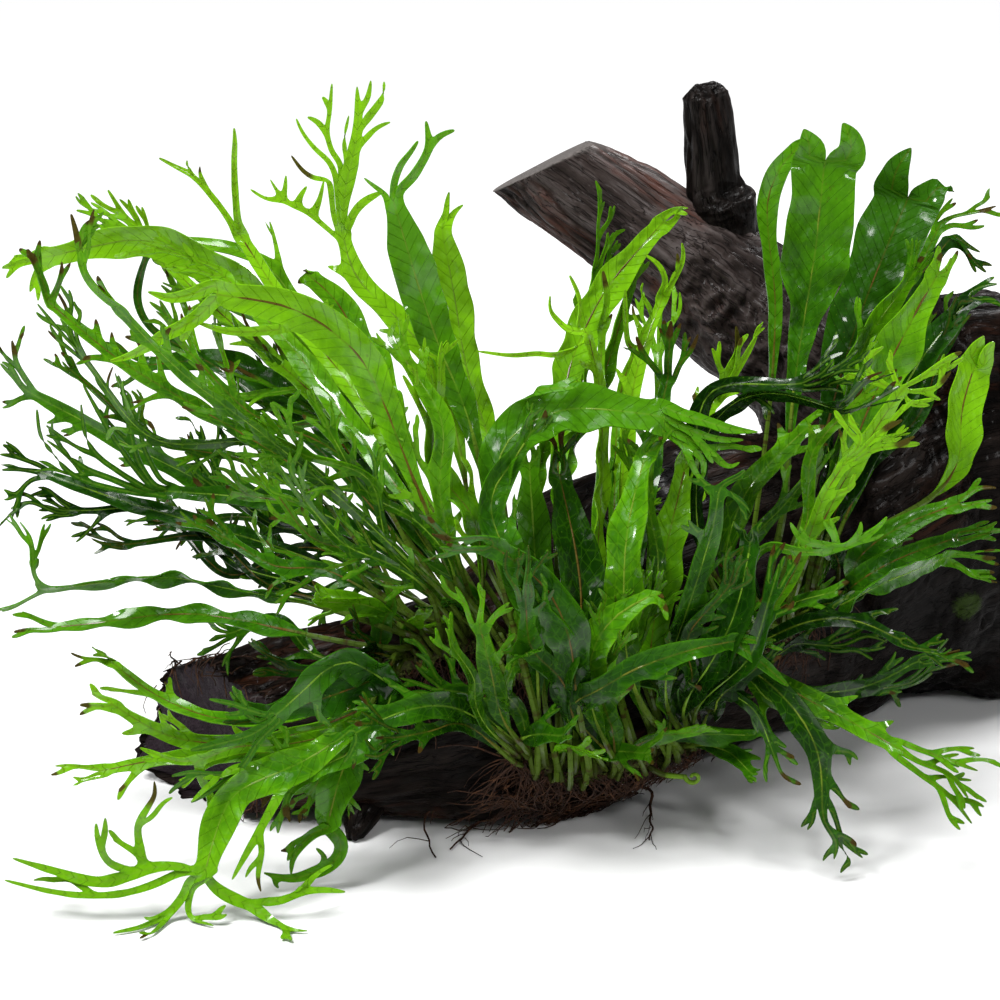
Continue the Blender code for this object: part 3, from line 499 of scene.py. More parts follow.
def limbRings(stations, rows, sides, seed, cut=None):
    axis = [Vector(p) for p in smoothRows([place(*station[:3]) for station in stations], rows)]
    radii = smoothRows([(s[3] / 1000,) for s in stations], rows)[:, 0]
    rings = []
    side = None
    for i, centre in enumerate(axis):
        ahead, side, other = carriedSide(side, axis, i)
        ring = []
        for k in range(sides):
            turn = 2 * math.pi * k / sides
            swell = lumps(turn, 9 * i / len(axis), seed)
            point = centre + (side * math.cos(turn) + other * math.sin(turn)) * radii[i] * swell
            if cut and i < 4:  # the first rings lean over, the very first on the saw's plane
                spot, normal = cut
                reach = (spot - point).dot(normal) / ahead.dot(normal)
                point += ahead * reach * (1 - i / 4)
            ring.append(point)
        rings.append(ring)
    return rings, [tuple(p) for p in axis]


def extrudeLimb(name, rings, rim=0.0018, insets=(0.006, 0.008),
                levels=driftwood["subdivision"]):
    # a disc is extruded from ring to ring, then both ends are inset for a crisp rim
    bpy.ops.object.select_all(action="DESELECT")
    bpy.ops.mesh.primitive_circle_add(vertices=len(rings[0]), radius=0.03, fill_type="NGON")
    limb = bpy.context.object
    limb.name = limb.data.name = name
    bpy.ops.object.mode_set(mode="EDIT")
    bpy.ops.mesh.select_mode(type="FACE")
    bpy.ops.mesh.select_all(action="SELECT")
    for index, ring in enumerate(rings):
        if index:
            bpy.ops.mesh.extrude_region_move()
        shape = bmesh.from_edit_mesh(limb.data)
        cap = next(face for face in shape.faces if face.select)
        for vert, point in zip(cap.verts, ring):
            vert.co = point
        bmesh.update_edit_mesh(limb.data)
    for end in (0, -1):
        bpy.ops.mesh.select_all(action="DESELECT")
        shape = bmesh.from_edit_mesh(limb.data)
        middle = sum(rings[end], Vector()) / len(rings[end])
        cap = min((f for f in shape.faces if len(f.verts) == len(rings[0])),
                  key=lambda f: (f.calc_center_median() - middle).length)
        cap.select = True
        bmesh.update_edit_mesh(limb.data)
        for thickness in (rim,) + tuple(insets):
            bpy.ops.mesh.inset(thickness=thickness)
    bpy.ops.mesh.select_all(action="SELECT")
    bpy.ops.mesh.normals_make_consistent(inside=False)
    bpy.ops.object.mode_set(mode="OBJECT")
    finer = limb.modifiers.new("finer", "SUBSURF")
    finer.levels = finer.render_levels = levels
    bpy.ops.object.modifier_apply(modifier=finer.name)
    return limb


def grainReadings(points, axis):
    # for each point: offset across and up from the axis, and distance along it
    axis = np.array(axis)
    ahead = np.gradient(axis, axis=0)
    ahead /= np.linalg.norm(ahead, axis=1)[:, None]
    reach = np.concatenate([[0.0], np.cumsum(np.linalg.norm(np.diff(axis, axis=0), axis=1))])
    nearest = np.array([np.argmin(((axis - p) ** 2).sum(axis=1)) for p in points])
    offset = points - axis[nearest]
    along = (offset * ahead[nearest]).sum(axis=1)
    level = np.cross(ahead[nearest], (0, 0, 1.0))
    level /= np.linalg.norm(level, axis=1)[:, None]
    above = np.cross(level, ahead[nearest])
    return np.stack([(offset * level).sum(axis=1), (offset * above).sum(axis=1),
                     reach[nearest] + along], axis=1)


def barkRelief(spot, seed):    # metres out (+) or in (-), and 0 to 1 from groove to ridge
    x, y, along = spot
    sway = noise.noise(Vector((x * 30, y * 30, along * 14 + seed))) * 0.007
    wide = noise.noise(Vector(((x + sway) * 62, (y - sway) * 62, along * 12 + seed)))
    ridge = Vector(((x + sway) * 190, (y + sway) * 190, along * 16 + seed * 2))
    ridge = 1 - 2.4 * abs(noise.noise(ridge))
    crack = Vector((x * 430, (y + sway) * 430, along * 36 + seed * 3))
    crack = 1 - 3.0 * abs(noise.noise(crack))
    fine = noise.noise(Vector((x * 1100, y * 1100, along * 330 + seed)))
    depth = max(ridge, 0) ** 2 * 0.75 + max(crack, 0) ** 3 * 0.35
    slow = noise.noise(Vector((x * 22, y * 22, along * 18 + seed * 5)))
    strength = 0.55 + 0.9 * max(0.5 + slow, 0)
    out = driftwood["lump"] * wide - driftwood["groove"] * depth * strength + 0.00022 * fine
    return out, min(max(0.74 - 0.62 * depth * strength + 0.35 * wide + 0.12 * fine, 0), 1)


def burrRelief(spot, seed):    # rough knotty bark with no grain
    coarse = abs(noise.noise(spot * 90 + Vector((seed, 0, 0))))
    small = abs(noise.noise(spot * 260 + Vector((0, seed, 0))))
    return 0.5 - 1.5 * coarse - 0.9 * small


def carveBark(limb, axis, seed, ends, calm=1.0, burrs=()):
    # ends: point on the face, outward direction, kind and rim length of each cut or broken face
    mesh = limb.data
    count = len(mesh.vertices)
    points, normals = np.empty(count * 3), np.empty(count * 3)
    mesh.vertices.foreach_get("co", points)
    mesh.vertex_normals.foreach_get("vector", normals)
    points, normals = points.reshape(-1, 3), normals.reshape(-1, 3)
    grain = grainReadings(points, axis)
    marks = np.zeros((count, 3))
    relief = np.zeros(count)
    for i in range(count):
        out, relief[i] = barkRelief(grain[i], seed)
        spot = Vector(points[i])
        for centre, across, height in burrs:
            near = 1 - (spot - centre).length / across
            if near > 0:
                rough = burrRelief(spot, seed)
                out = out * (1 - near * 0.7) + height * rough * min(near * 2, 1)
                relief[i] += (0.5 + rough * 0.5 - relief[i]) * min(near * 1.6, 1)
        normal = Vector(normals[i])
        move = normal * out * calm
        for middle, outward, kind, rimLength in ends:
            inward = (middle - spot).dot(outward)
            if inward > rimLength:
                continue
            nearFace = 1 - max(inward, 0) / rimLength
            onFace = 0
            if inward < driftwood["faceDepth"]:
                onFace = min(max((normal.dot(outward) - 0.45) / 0.35, 0), 1)
            if kind == "broken":
                marks[i][0] = max(marks[i][0], onFace)
                ragged = noise.noise(spot * 120) + 0.8 * noise.noise(spot * 290)
                splinter = max(noise.noise(spot * 340), 0)
                rim = driftwood["rimRaggedness"] * (0.25 + ragged + splinter) * nearFace
                dished = 0.0012 * noise.noise(spot * 60) + 0.0007 * noise.noise(spot * 240)
                dished -= 0.0018
                move = move * (1 - 0.8 * onFace) + outward * (rim * (1 - onFace) + dished * onFace)
            else:
                marks[i][1] = max(marks[i][1], onFace * (0.40 if kind == "cut" else 1.0))
                move = move * (1 - onFace) * (1 - 0.5 * nearFace)
        points[i] += move
    heights, flat = points[:, 2], driftwood["flatUnder"]
    pressed = np.maximum(heights, 0) * np.clip(heights / flat, 0, 1)
    points[:, 2] = np.where(heights < flat, pressed, heights)
    return points, grain, marks, relief


def finishLimb(limb, carved, material):
    points, grain, marks, relief = carved
    mesh = limb.data
    mesh.vertices.foreach_set("co", points.ravel())
    for key, values in (("grain", grain), ("marks", marks)):
        layer = mesh.attributes.new(key, "FLOAT_VECTOR", "POINT")
        layer.data.foreach_set("vector", values.astype(np.float32).ravel())
    layer = mesh.attributes.new("relief", "FLOAT", "POINT")
    layer.data.foreach_set("value", relief.astype(np.float32))
    mesh.materials.clear()
    mesh.materials.append(material)
    mesh.shade_smooth()
    mesh.update()


def bevelBy(points, plane):    # what stands past the plane is laid back on it
    spot, normal = np.array(plane[0]), np.array(plane[1])
    past = np.maximum((points - spot) @ normal, 0)
    points -= past[:, None] * normal * 0.94


def onBark(px, py):
    hit, _, _, _ = woodTree.ray_cast(eye, lineTo(px, py).normalized())
    return hit


def mossSpot(points, marks, px, py, radius):
    gap = np.linalg.norm(points - np.array(onBark(px, py)), axis=1)
    marks[:, 2] = np.maximum(marks[:, 2], np.clip(1 - gap / radius, 0, 1))


def declare(piece, slotName, *nodes):
    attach(piece, "root")
    if nodes:
        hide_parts(*nodes)


def pick(first, *others):      # selects pieces, with the first one active
    bpy.ops.object.select_all(action="DESELECT")
    for piece in (first, *others):
        piece.select_set(True)
    bpy.context.view_layer.objects.active = first


def joinInto(first, second):
    pick(first, second)
    bpy.ops.object.join()


def seenFrom(points, px, py):   # how far the points look from a picture point, in pixels
    away = points - np.array(eye)
    depth = away @ np.array(look)
    across = away @ np.array(right) / depth
    down = -(away @ np.array(up)) / depth
    middle, pixels = view["middle"], view["pixels"]
    return np.hypot(middle + across * pixels - px, middle + down * pixels - py)


def shrunk(ring, share):
    middle = sum(ring, Vector()) / len(ring)
    return [middle + (p - middle) * share for p in ring]


def buildLog():                # the lower limb and the trunk, from one row of rings
    stations, rows, seed = driftwood["log"], driftwood["rows"], driftwood["seed"]
    rims, (slight, deep) = driftwood["rims"], driftwood["sunk"]
    axis = smoothRows([logStation(*row) for row in stations], rows)
    rings = logRings(axis, driftwood["sides"], len(stations) - 1)
    fork = driftwood["forkStation"] * rows
    line = [tuple(row[:3]) for row in axis]
    lower = extrudeLimb("lowerLog", rings[:fork + 1]
                        + [shrunk(rings[fork + 1], slight), shrunk(rings[fork + 2], deep)])
    sunk = [shrunk(rings[fork - 2], deep), shrunk(rings[fork - 1], slight)]
    trunk = extrudeLimb("trunkWood", sunk + rings[fork:])
    leftOut = driftwood["leftEndTurn"].cross(Vector((0, 0, 1))).normalized()
    leftOut *= math.copysign(1, leftOut.dot(Vector((-1, -1, 0))))
    leftMiddle, rightMiddle = (sum(ring, Vector()) / len(ring) for ring in (rings[0], rings[-1]))
    rightOut = Vector((axis[-1][0] - axis[-2][0], axis[-1][1] - axis[-2][1], 0)).normalized()
    carved = carveBark(lower, line, seed, [(leftMiddle, leftOut, "broken", rims["broken"])])
    points = carved[0]
    for px, py, across, height in driftwood["bulges"]:
        near = np.clip(1 - seenFrom(points, px, py) / across, 0, 1)
        inward = (points - np.array(leftMiddle)) @ np.array(leftOut)
        near *= np.clip((inward + driftwood["bulgeReach"]) / driftwood["bulgeReach"], 0, 1)
        swell = near * near * (3 - 2 * near) * height
        points += np.array(leftOut * 0.35 - right) * swell[:, None]
    finishLimb(lower, carved, wetBark)
    carved = carveBark(trunk, line, seed, [(rightMiddle, rightOut, "cut", rims["cut"])])
    for px, py, radius in driftwood["moss"]:
        mossSpot(carved[0], carved[2], px, py, radius)
    finishLimb(trunk, carved, wetBark)
    return lower, trunk


def carvedLimb(key, ends=(), burrs=(), cut=None):
    looks = driftwood["limbs"][key]
    rings, line = limbRings(driftwood[key], driftwood["rows"], looks["sides"], looks["swell"], cut)
    limb = extrudeLimb(looks["name"], rings, looks["rim"], looks["insets"], looks["levels"])
    return limb, carveBark(limb, line, looks["seed"], ends, looks["calm"], burrs)


def buildDriftwood():
    lower, trunk = buildLog()
    foot, carved = carvedLimb("foot")
    finishLimb(foot, carved, wetBark)
    joinInto(lower, foot)

    sawn = planeThrough(driftwood["sawCut"])
    burrs = [(onBark(px, py), across / 1000, height)
             for px, py, across, height in driftwood["burrs"]]
    upper, carved = carvedLimb("upperLimb", [(*sawn, "sawn", driftwood["rims"]["sawn"])],
                               burrs, sawn)
    finishLimb(upper, carved, weatheredBark)

    collar = [(place(*spot), across, height) for spot, across, height in driftwood["collar"]]
    stub, carved = carvedLimb("stub", burrs=collar)
    bevelBy(carved[0], planeThrough(driftwood["stubBevel"]))
    finishLimb(stub, carved, soakedBark)

    declare(lower, "wet_wood", "lower_limb")
    declare(trunk, "wet_wood", "trunk")
    declare(upper, "weathered_wood", "upper_limb")
    declare(stub, "weathered_wood", "upright_stub")
    print("driftwood carved")


buildDriftwood()


class Shape:                   # a mesh in the making, with what the leaf finish reads
    def __init__(self):
        self.shape = bmesh.new()
        layers = self.shape.verts.layers
        self.placeLayer = layers.float_vector.new("leafPlace")
        self.lookLayer = layers.float_vector.new("leafLook")

    def made(self, name, material):
        mesh = bpy.data.meshes.new(name)
        self.shape.to_mesh(mesh)
        self.shape.free()
        mesh.materials.append(material)
        piece = bpy.data.objects.new(name, mesh)
        bpy.context.scene.collection.objects.link(piece)
        return piece


def ringAround(centre, side, other, radius, sides):
    turns = (2 * math.pi * k / sides for k in range(sides))
    return [centre + (side * math.cos(turn) + other * math.sin(turn)) * radius for turn in turns]


class Stems(Shape):            # tubes, for stalks, midribs, roots and rhizomes
    def __init__(self):
        super().__init__()
        self.stemLayer = self.shape.verts.layers.float.new("stem")

    def tube(self, points, radii, sides, readings=None):
        # readings: place and look at each point
        rows = []
        side = None
        for i, point in enumerate(points):
            _, side, other = carriedSide(side, points, i)
            ring = ringAround(point, side, other, radii[i], sides)
            row = [self.shape.verts.new(p) for p in ring]
            for vert in row if readings else ():
                vert[self.placeLayer], vert[self.lookLayer] = readings[i]
                vert[self.stemLayer] = 1.0
            rows.append(row)
        for low, high in zip(rows, rows[1:]):
            for k in range(sides):
                j = (k + 1) % sides
                self.shape.faces.new((low[k], low[j], high[j], high[k]))
        self.shape.faces.new(list(reversed(rows[0])))
        self.shape.faces.new(rows[-1])
        return rows

    def piece(self, name, material):
        made = self.made(name, material)
        made.data.shade_smooth()
        return made


rhizomes = {
    "radius": 0.0042,
    "lift": 0.0009,
    "left": [(372, 688), (400, 668), (435, 654), (475, 646), (512, 655), (530, 676)],
    "front": [(502, 740), (535, 755), (572, 765), (612, 757), (652, 744), (694, 726)],
    "right": [(686, 662), (722, 650), (762, 634), (800, 612), (830, 584)],
    "rings": 70,
    "sides": 14,
    "uneven": 0.16,
    "scales": 150,
    "scaleSize": (0.0012, 0.0030),
}


def barkPoint(px, py, lift):
    hit, normal, _, _ = woodTree.ray_cast(eye, lineTo(px, py).normalized())
    return hit + normal * lift, normal


def leafScale(stems, at, outward, heading, size):
    # a small pointed flap that lies back over the rhizome
    side = heading.cross(outward).normalized()
    root = at - outward * 0.0002
    tip = at + heading * size + outward * size * 0.35
    points = [root - side * size * 0.4, root + side * size * 0.4, tip,
              root + heading * size * 0.4 + outward * size * 0.55]
    verts = [stems.shape.verts.new(p) for p in points]
    for face in ((0, 1, 3), (1, 2, 3), (2, 0, 3), (0, 2, 1)):
        stems.shape.faces.new([verts[k] for k in face])


def drawn(rng, *ranges):       # a vector drawn at random; a plain number stays as it is
    return Vector([rng.uniform(*r) if isinstance(r, tuple) else r for r in ranges])


def strand(stems, start, heading, length, radius, rng, hug, fall=0.12, wander=0.34):
    # a root that feels its way over the bark; hug is how far off the bark it may stray
    steps = max(4, round(length / 0.004))
    points = [start.copy()]
    for _ in range(steps):
        drift = drawn(rng, (-1, 1), (-1, 1), (-1, 1))
        heading = (heading + drift * wander + Vector((0, 0, -fall))).normalized()
        point = points[-1] + heading * length / steps
        near, normal, _, _ = woodTree.find_nearest(point)
        out = (point - near).dot(normal)
        if out < radius + 0.0006:
            point = near + normal * (radius + 0.0006)
        elif hug and out > hug:
            point -= normal * (out - hug) * 0.6
        point.z = max(point.z, radius * 1.2)
        points.append(point)
    radii = [radius * (1.0 - 0.55 * i / steps) for i in range(steps + 1)]
    stems.tube(points, radii, 4)


rhizomeRoutes = {}


def buildRhizome(group, rng):
    radius = rhizomes["radius"]
    hits = [barkPoint(px, py, radius + rhizomes["lift"]) for px, py in rhizomes[group]]
    route = Route([point for point, _ in hits])
    normals = [normal for _, normal in hits]
    rhizomeRoutes[group] = (route, normals)
    stems = Stems()
    rows = rhizomes["rings"]
    points, radii = [], []
    for i in range(rows + 1):
        share = i / rows
        taper = min(1, 0.55 + 6 * min(share, 1 - share))
        knots = 1 + 0.13 * math.sin(share * 41) + 0.06 * rng.uniform(-1, 1)
        points.append(route.at(share))
        radii.append(radius * taper * knots)
    rings = stems.tube(points, radii, rhizomes["sides"])
    for ring in rings:
        centre = sum((v.co for v in ring), Vector()) / len(ring)
        for vert in ring:
            vert.co += (vert.co - centre) * rhizomes["uneven"] * noise.noise(vert.co * 420)
    for _ in range(rhizomes["scales"]):
        share = rng.uniform(0.01, 0.99)
        ring = rings[round(share * rows)]
        vert = rng.choice(ring)
        outward = (vert.co - route.at(share)).normalized()
        heading = route.along(share) * rng.choice((1, -1)) + outward * rng.uniform(0.1, 0.6)
        leafScale(stems, vert.co.copy(), outward, heading.normalized(),
                  rng.uniform(*rhizomes["scaleSize"]))
    declare(stems.piece(f"{group}Rhizome", rhizomeSkin), "rhizome", f"rhizome_{group}")


for index, group in enumerate(("left", "front", "right")):
    buildRhizome(group, random.Random(11 + index))
print("rhizomes laid")


roots = {
    "mat": [(512, 784), (542, 793), (578, 799), (610, 794), (638, 780)],
    "hanging": [
        [(535, 795, -62), (500, 812, -66), (470, 828, -74), (452, 849, -90)],
        [(530, 795, -60), (470, 800, -68), (425, 815, -76), (434, 857, -96)],
        [(630, 785, -52), (650, 790, -58), (651, 812, -66), (650, 840, -82)],
    ],
    "matLift": 0.0055,
    "matSpread": 0.0048,
    "hangingSteps": 26,
    "sideRoots": 7,            # on each hanging root
    "matStrands": 330,
    "creeping": 190,
    "veil": 150,
    "endStrands": 120,
    "thin": 0.00022,
    "thick": 0.00075,
    # range of lengths, thickest as a multiple of thin, and how it grows
    "habits": {"mat": ((0.015, 0.040), 2, {"hug": 0.006, "wander": 0.45}),
               "creeping": ((0.012, 0.038), 2.2, {"hug": 0.0016}),
               "veil": ((0.010, 0.026), 2, {"hug": 0.0098, "fall": 0.2})},
}


def growRoot(stems, start, heading, habit, rng):
    lengths, thickest, manner = roots["habits"][habit]
    length = rng.uniform(*lengths)
    radius = rng.uniform(roots["thin"], roots["thin"] * thickest)
    strand(stems, start, heading.normalized(), length, radius, rng, **manner)


def normalAt(normals, share):
    return normals[min(int(share * len(normals)), len(normals) - 1)]


def hangRoot(stems, mat, line, rng):
    points = [placeAbove(px, py, back, 0.001) for px, py, back in line]
    points[0] = min((mat.at(k / 20) for k in range(21)), key=lambda p: (p - points[0]).length)
    route, steps = Route(points), roots["hangingSteps"]
    bent = []
    for k in range(steps + 1):
        p = route.at(k / steps)
        p += Vector((noise.noise(p * 180), noise.noise(p * 180 + Vector((5, 0, 0))), 0)) * 0.0014
        bent.append(Vector((p.x, p.y, max(p.z, 0.0009))))
    stems.tube(bent, [roots["thick"] * (1 - 0.6 * k / steps) for k in range(steps + 1)], 6)
    for _ in range(roots["sideRoots"]):
        share = rng.uniform(0.2, 0.95)
        heading = route.along(share) + drawn(rng, (-1, 1), (-1, 1), (-0.4, 0.6))
        strand(stems, route.at(share), heading.normalized(), rng.uniform(0.006, 0.018),
               roots["thin"], rng, hug=0)


def buildRoots(rng):
    stems = Stems()
    core = []
    for px, py in roots["mat"]:
        hit, normal, _, _ = woodTree.ray_cast(eye, lineTo(px, py).normalized())
        core.append(hit + normal * roots["matLift"] if hit else place(px, py, -60))
    mat = Route(core)
    for _ in range(roots["matStrands"]):
        share = rng.uniform(0, 1)
        start = mat.at(share) + drawn(rng, (-1, 1), (-1, 1), (-0.6, 1)) * roots["matSpread"]
        start = clearOfWood(start, 0.001)
        heading = mat.along(share) * rng.choice((1, -1)) + drawn(rng, 0, (-0.5, 0.2), (-0.7, 0.4))
        growRoot(stems, start, heading, "mat", rng)
    for group, (route, normals) in rhizomeRoutes.items():
        front = group == "front"
        for _ in range(roots["creeping"] if front else roots["creeping"] // 2):
            share = rng.uniform(0, 1)
            under = Vector((0, -0.3, -1)).normalized() * rhizomes["radius"] * 0.8
            start = clearOfWood(route.at(share) + under, 0.0008)
            growRoot(stems, start, drawn(rng, (-1, 1), (-0.3, 0.3), (-1, 0.1)), "creeping", rng)
        for _ in range(roots["veil"] if front else roots["veil"] // 4):
            share = rng.uniform(0.02, 0.98)
            outward = normalAt(normals, share) + drawn(rng, (-0.4, 0.4), 0, (-0.5, 0.5))
            start = route.at(share) + outward * rhizomes["radius"] * 1.1
            growRoot(stems, start, drawn(rng, (-1, 1), (-0.4, 0.2), (-1, 0)), "veil", rng)
    for line in roots["hanging"]:
        hangRoot(stems, mat, line, rng)
    declare(stems.piece("rootMat", rootFibre), "roots", "root_mat")
    print("roots grown")


buildRoots(random.Random(5))


def buildEndFibres(rng):
    # torn bark fibres and old rootlets on the left end's rim
    stems = Stems()
    axis = smoothRows([logStation(*row) for row in driftwood["log"]], 4)
    rings = logRings(axis, driftwood["sides"], len(driftwood["log"]) - 1)
    for _ in range(roots["endStrands"]):
        k = rng.randrange(len(rings[0]))
        start = rings[0][k].lerp(rings[1][k], rng.uniform(-0.1, 0.8))
        if start.z < 0.004:
            continue
        start = clearOfWood(start, 0.0006)
        heading = drawn(rng, (-1, 1), (-1, 0.4), (-1, 0.6))
        strand(stems, start, heading.normalized(), rng.uniform(0.006, 0.026),
               rng.uniform(0.00018, 0.0005), rng, hug=0.0018, wander=0.4)
    declare(stems.piece("barkFibres", rootFibre), "roots")
    print("bark fibres grown")


buildEndFibres(random.Random(8))


def leaf(width, route, tips, lobes=(), tone="mid", finger=None, light=None, end=0.90,
         stalk=None, sprigs=(), crowd=None, prongs=3, teeth=None, rise=1.0, ruffle=None,
         browned=None, outline=None):
    # a tip is a picture point, or the half width in mm and the points that its finger follows;
    # a sprig is the same, and forks from the finger nearest to its first point;
    # an outline is the blade's half widths in mm, from its foot to its end
    # light is how light the frond looks, partly its own tone and partly painted light and shade
    return {"width": width, "route": route, "tips": tips, "lobes": lobes, "tone": tone,
            "finger": finger or 0.75 + width * 0.035, "light": light, "end": end,
            "stalk": stalk or (0.22 if width <= 7 else 0.30 if width < 14 else 0.36),
            "sprigs": sprigs, "crowd": crowd, "prongs": prongs, "teeth": teeth, "rise": rise,
            "ruffle": ruffle, "browned": browned, "outline": outline}


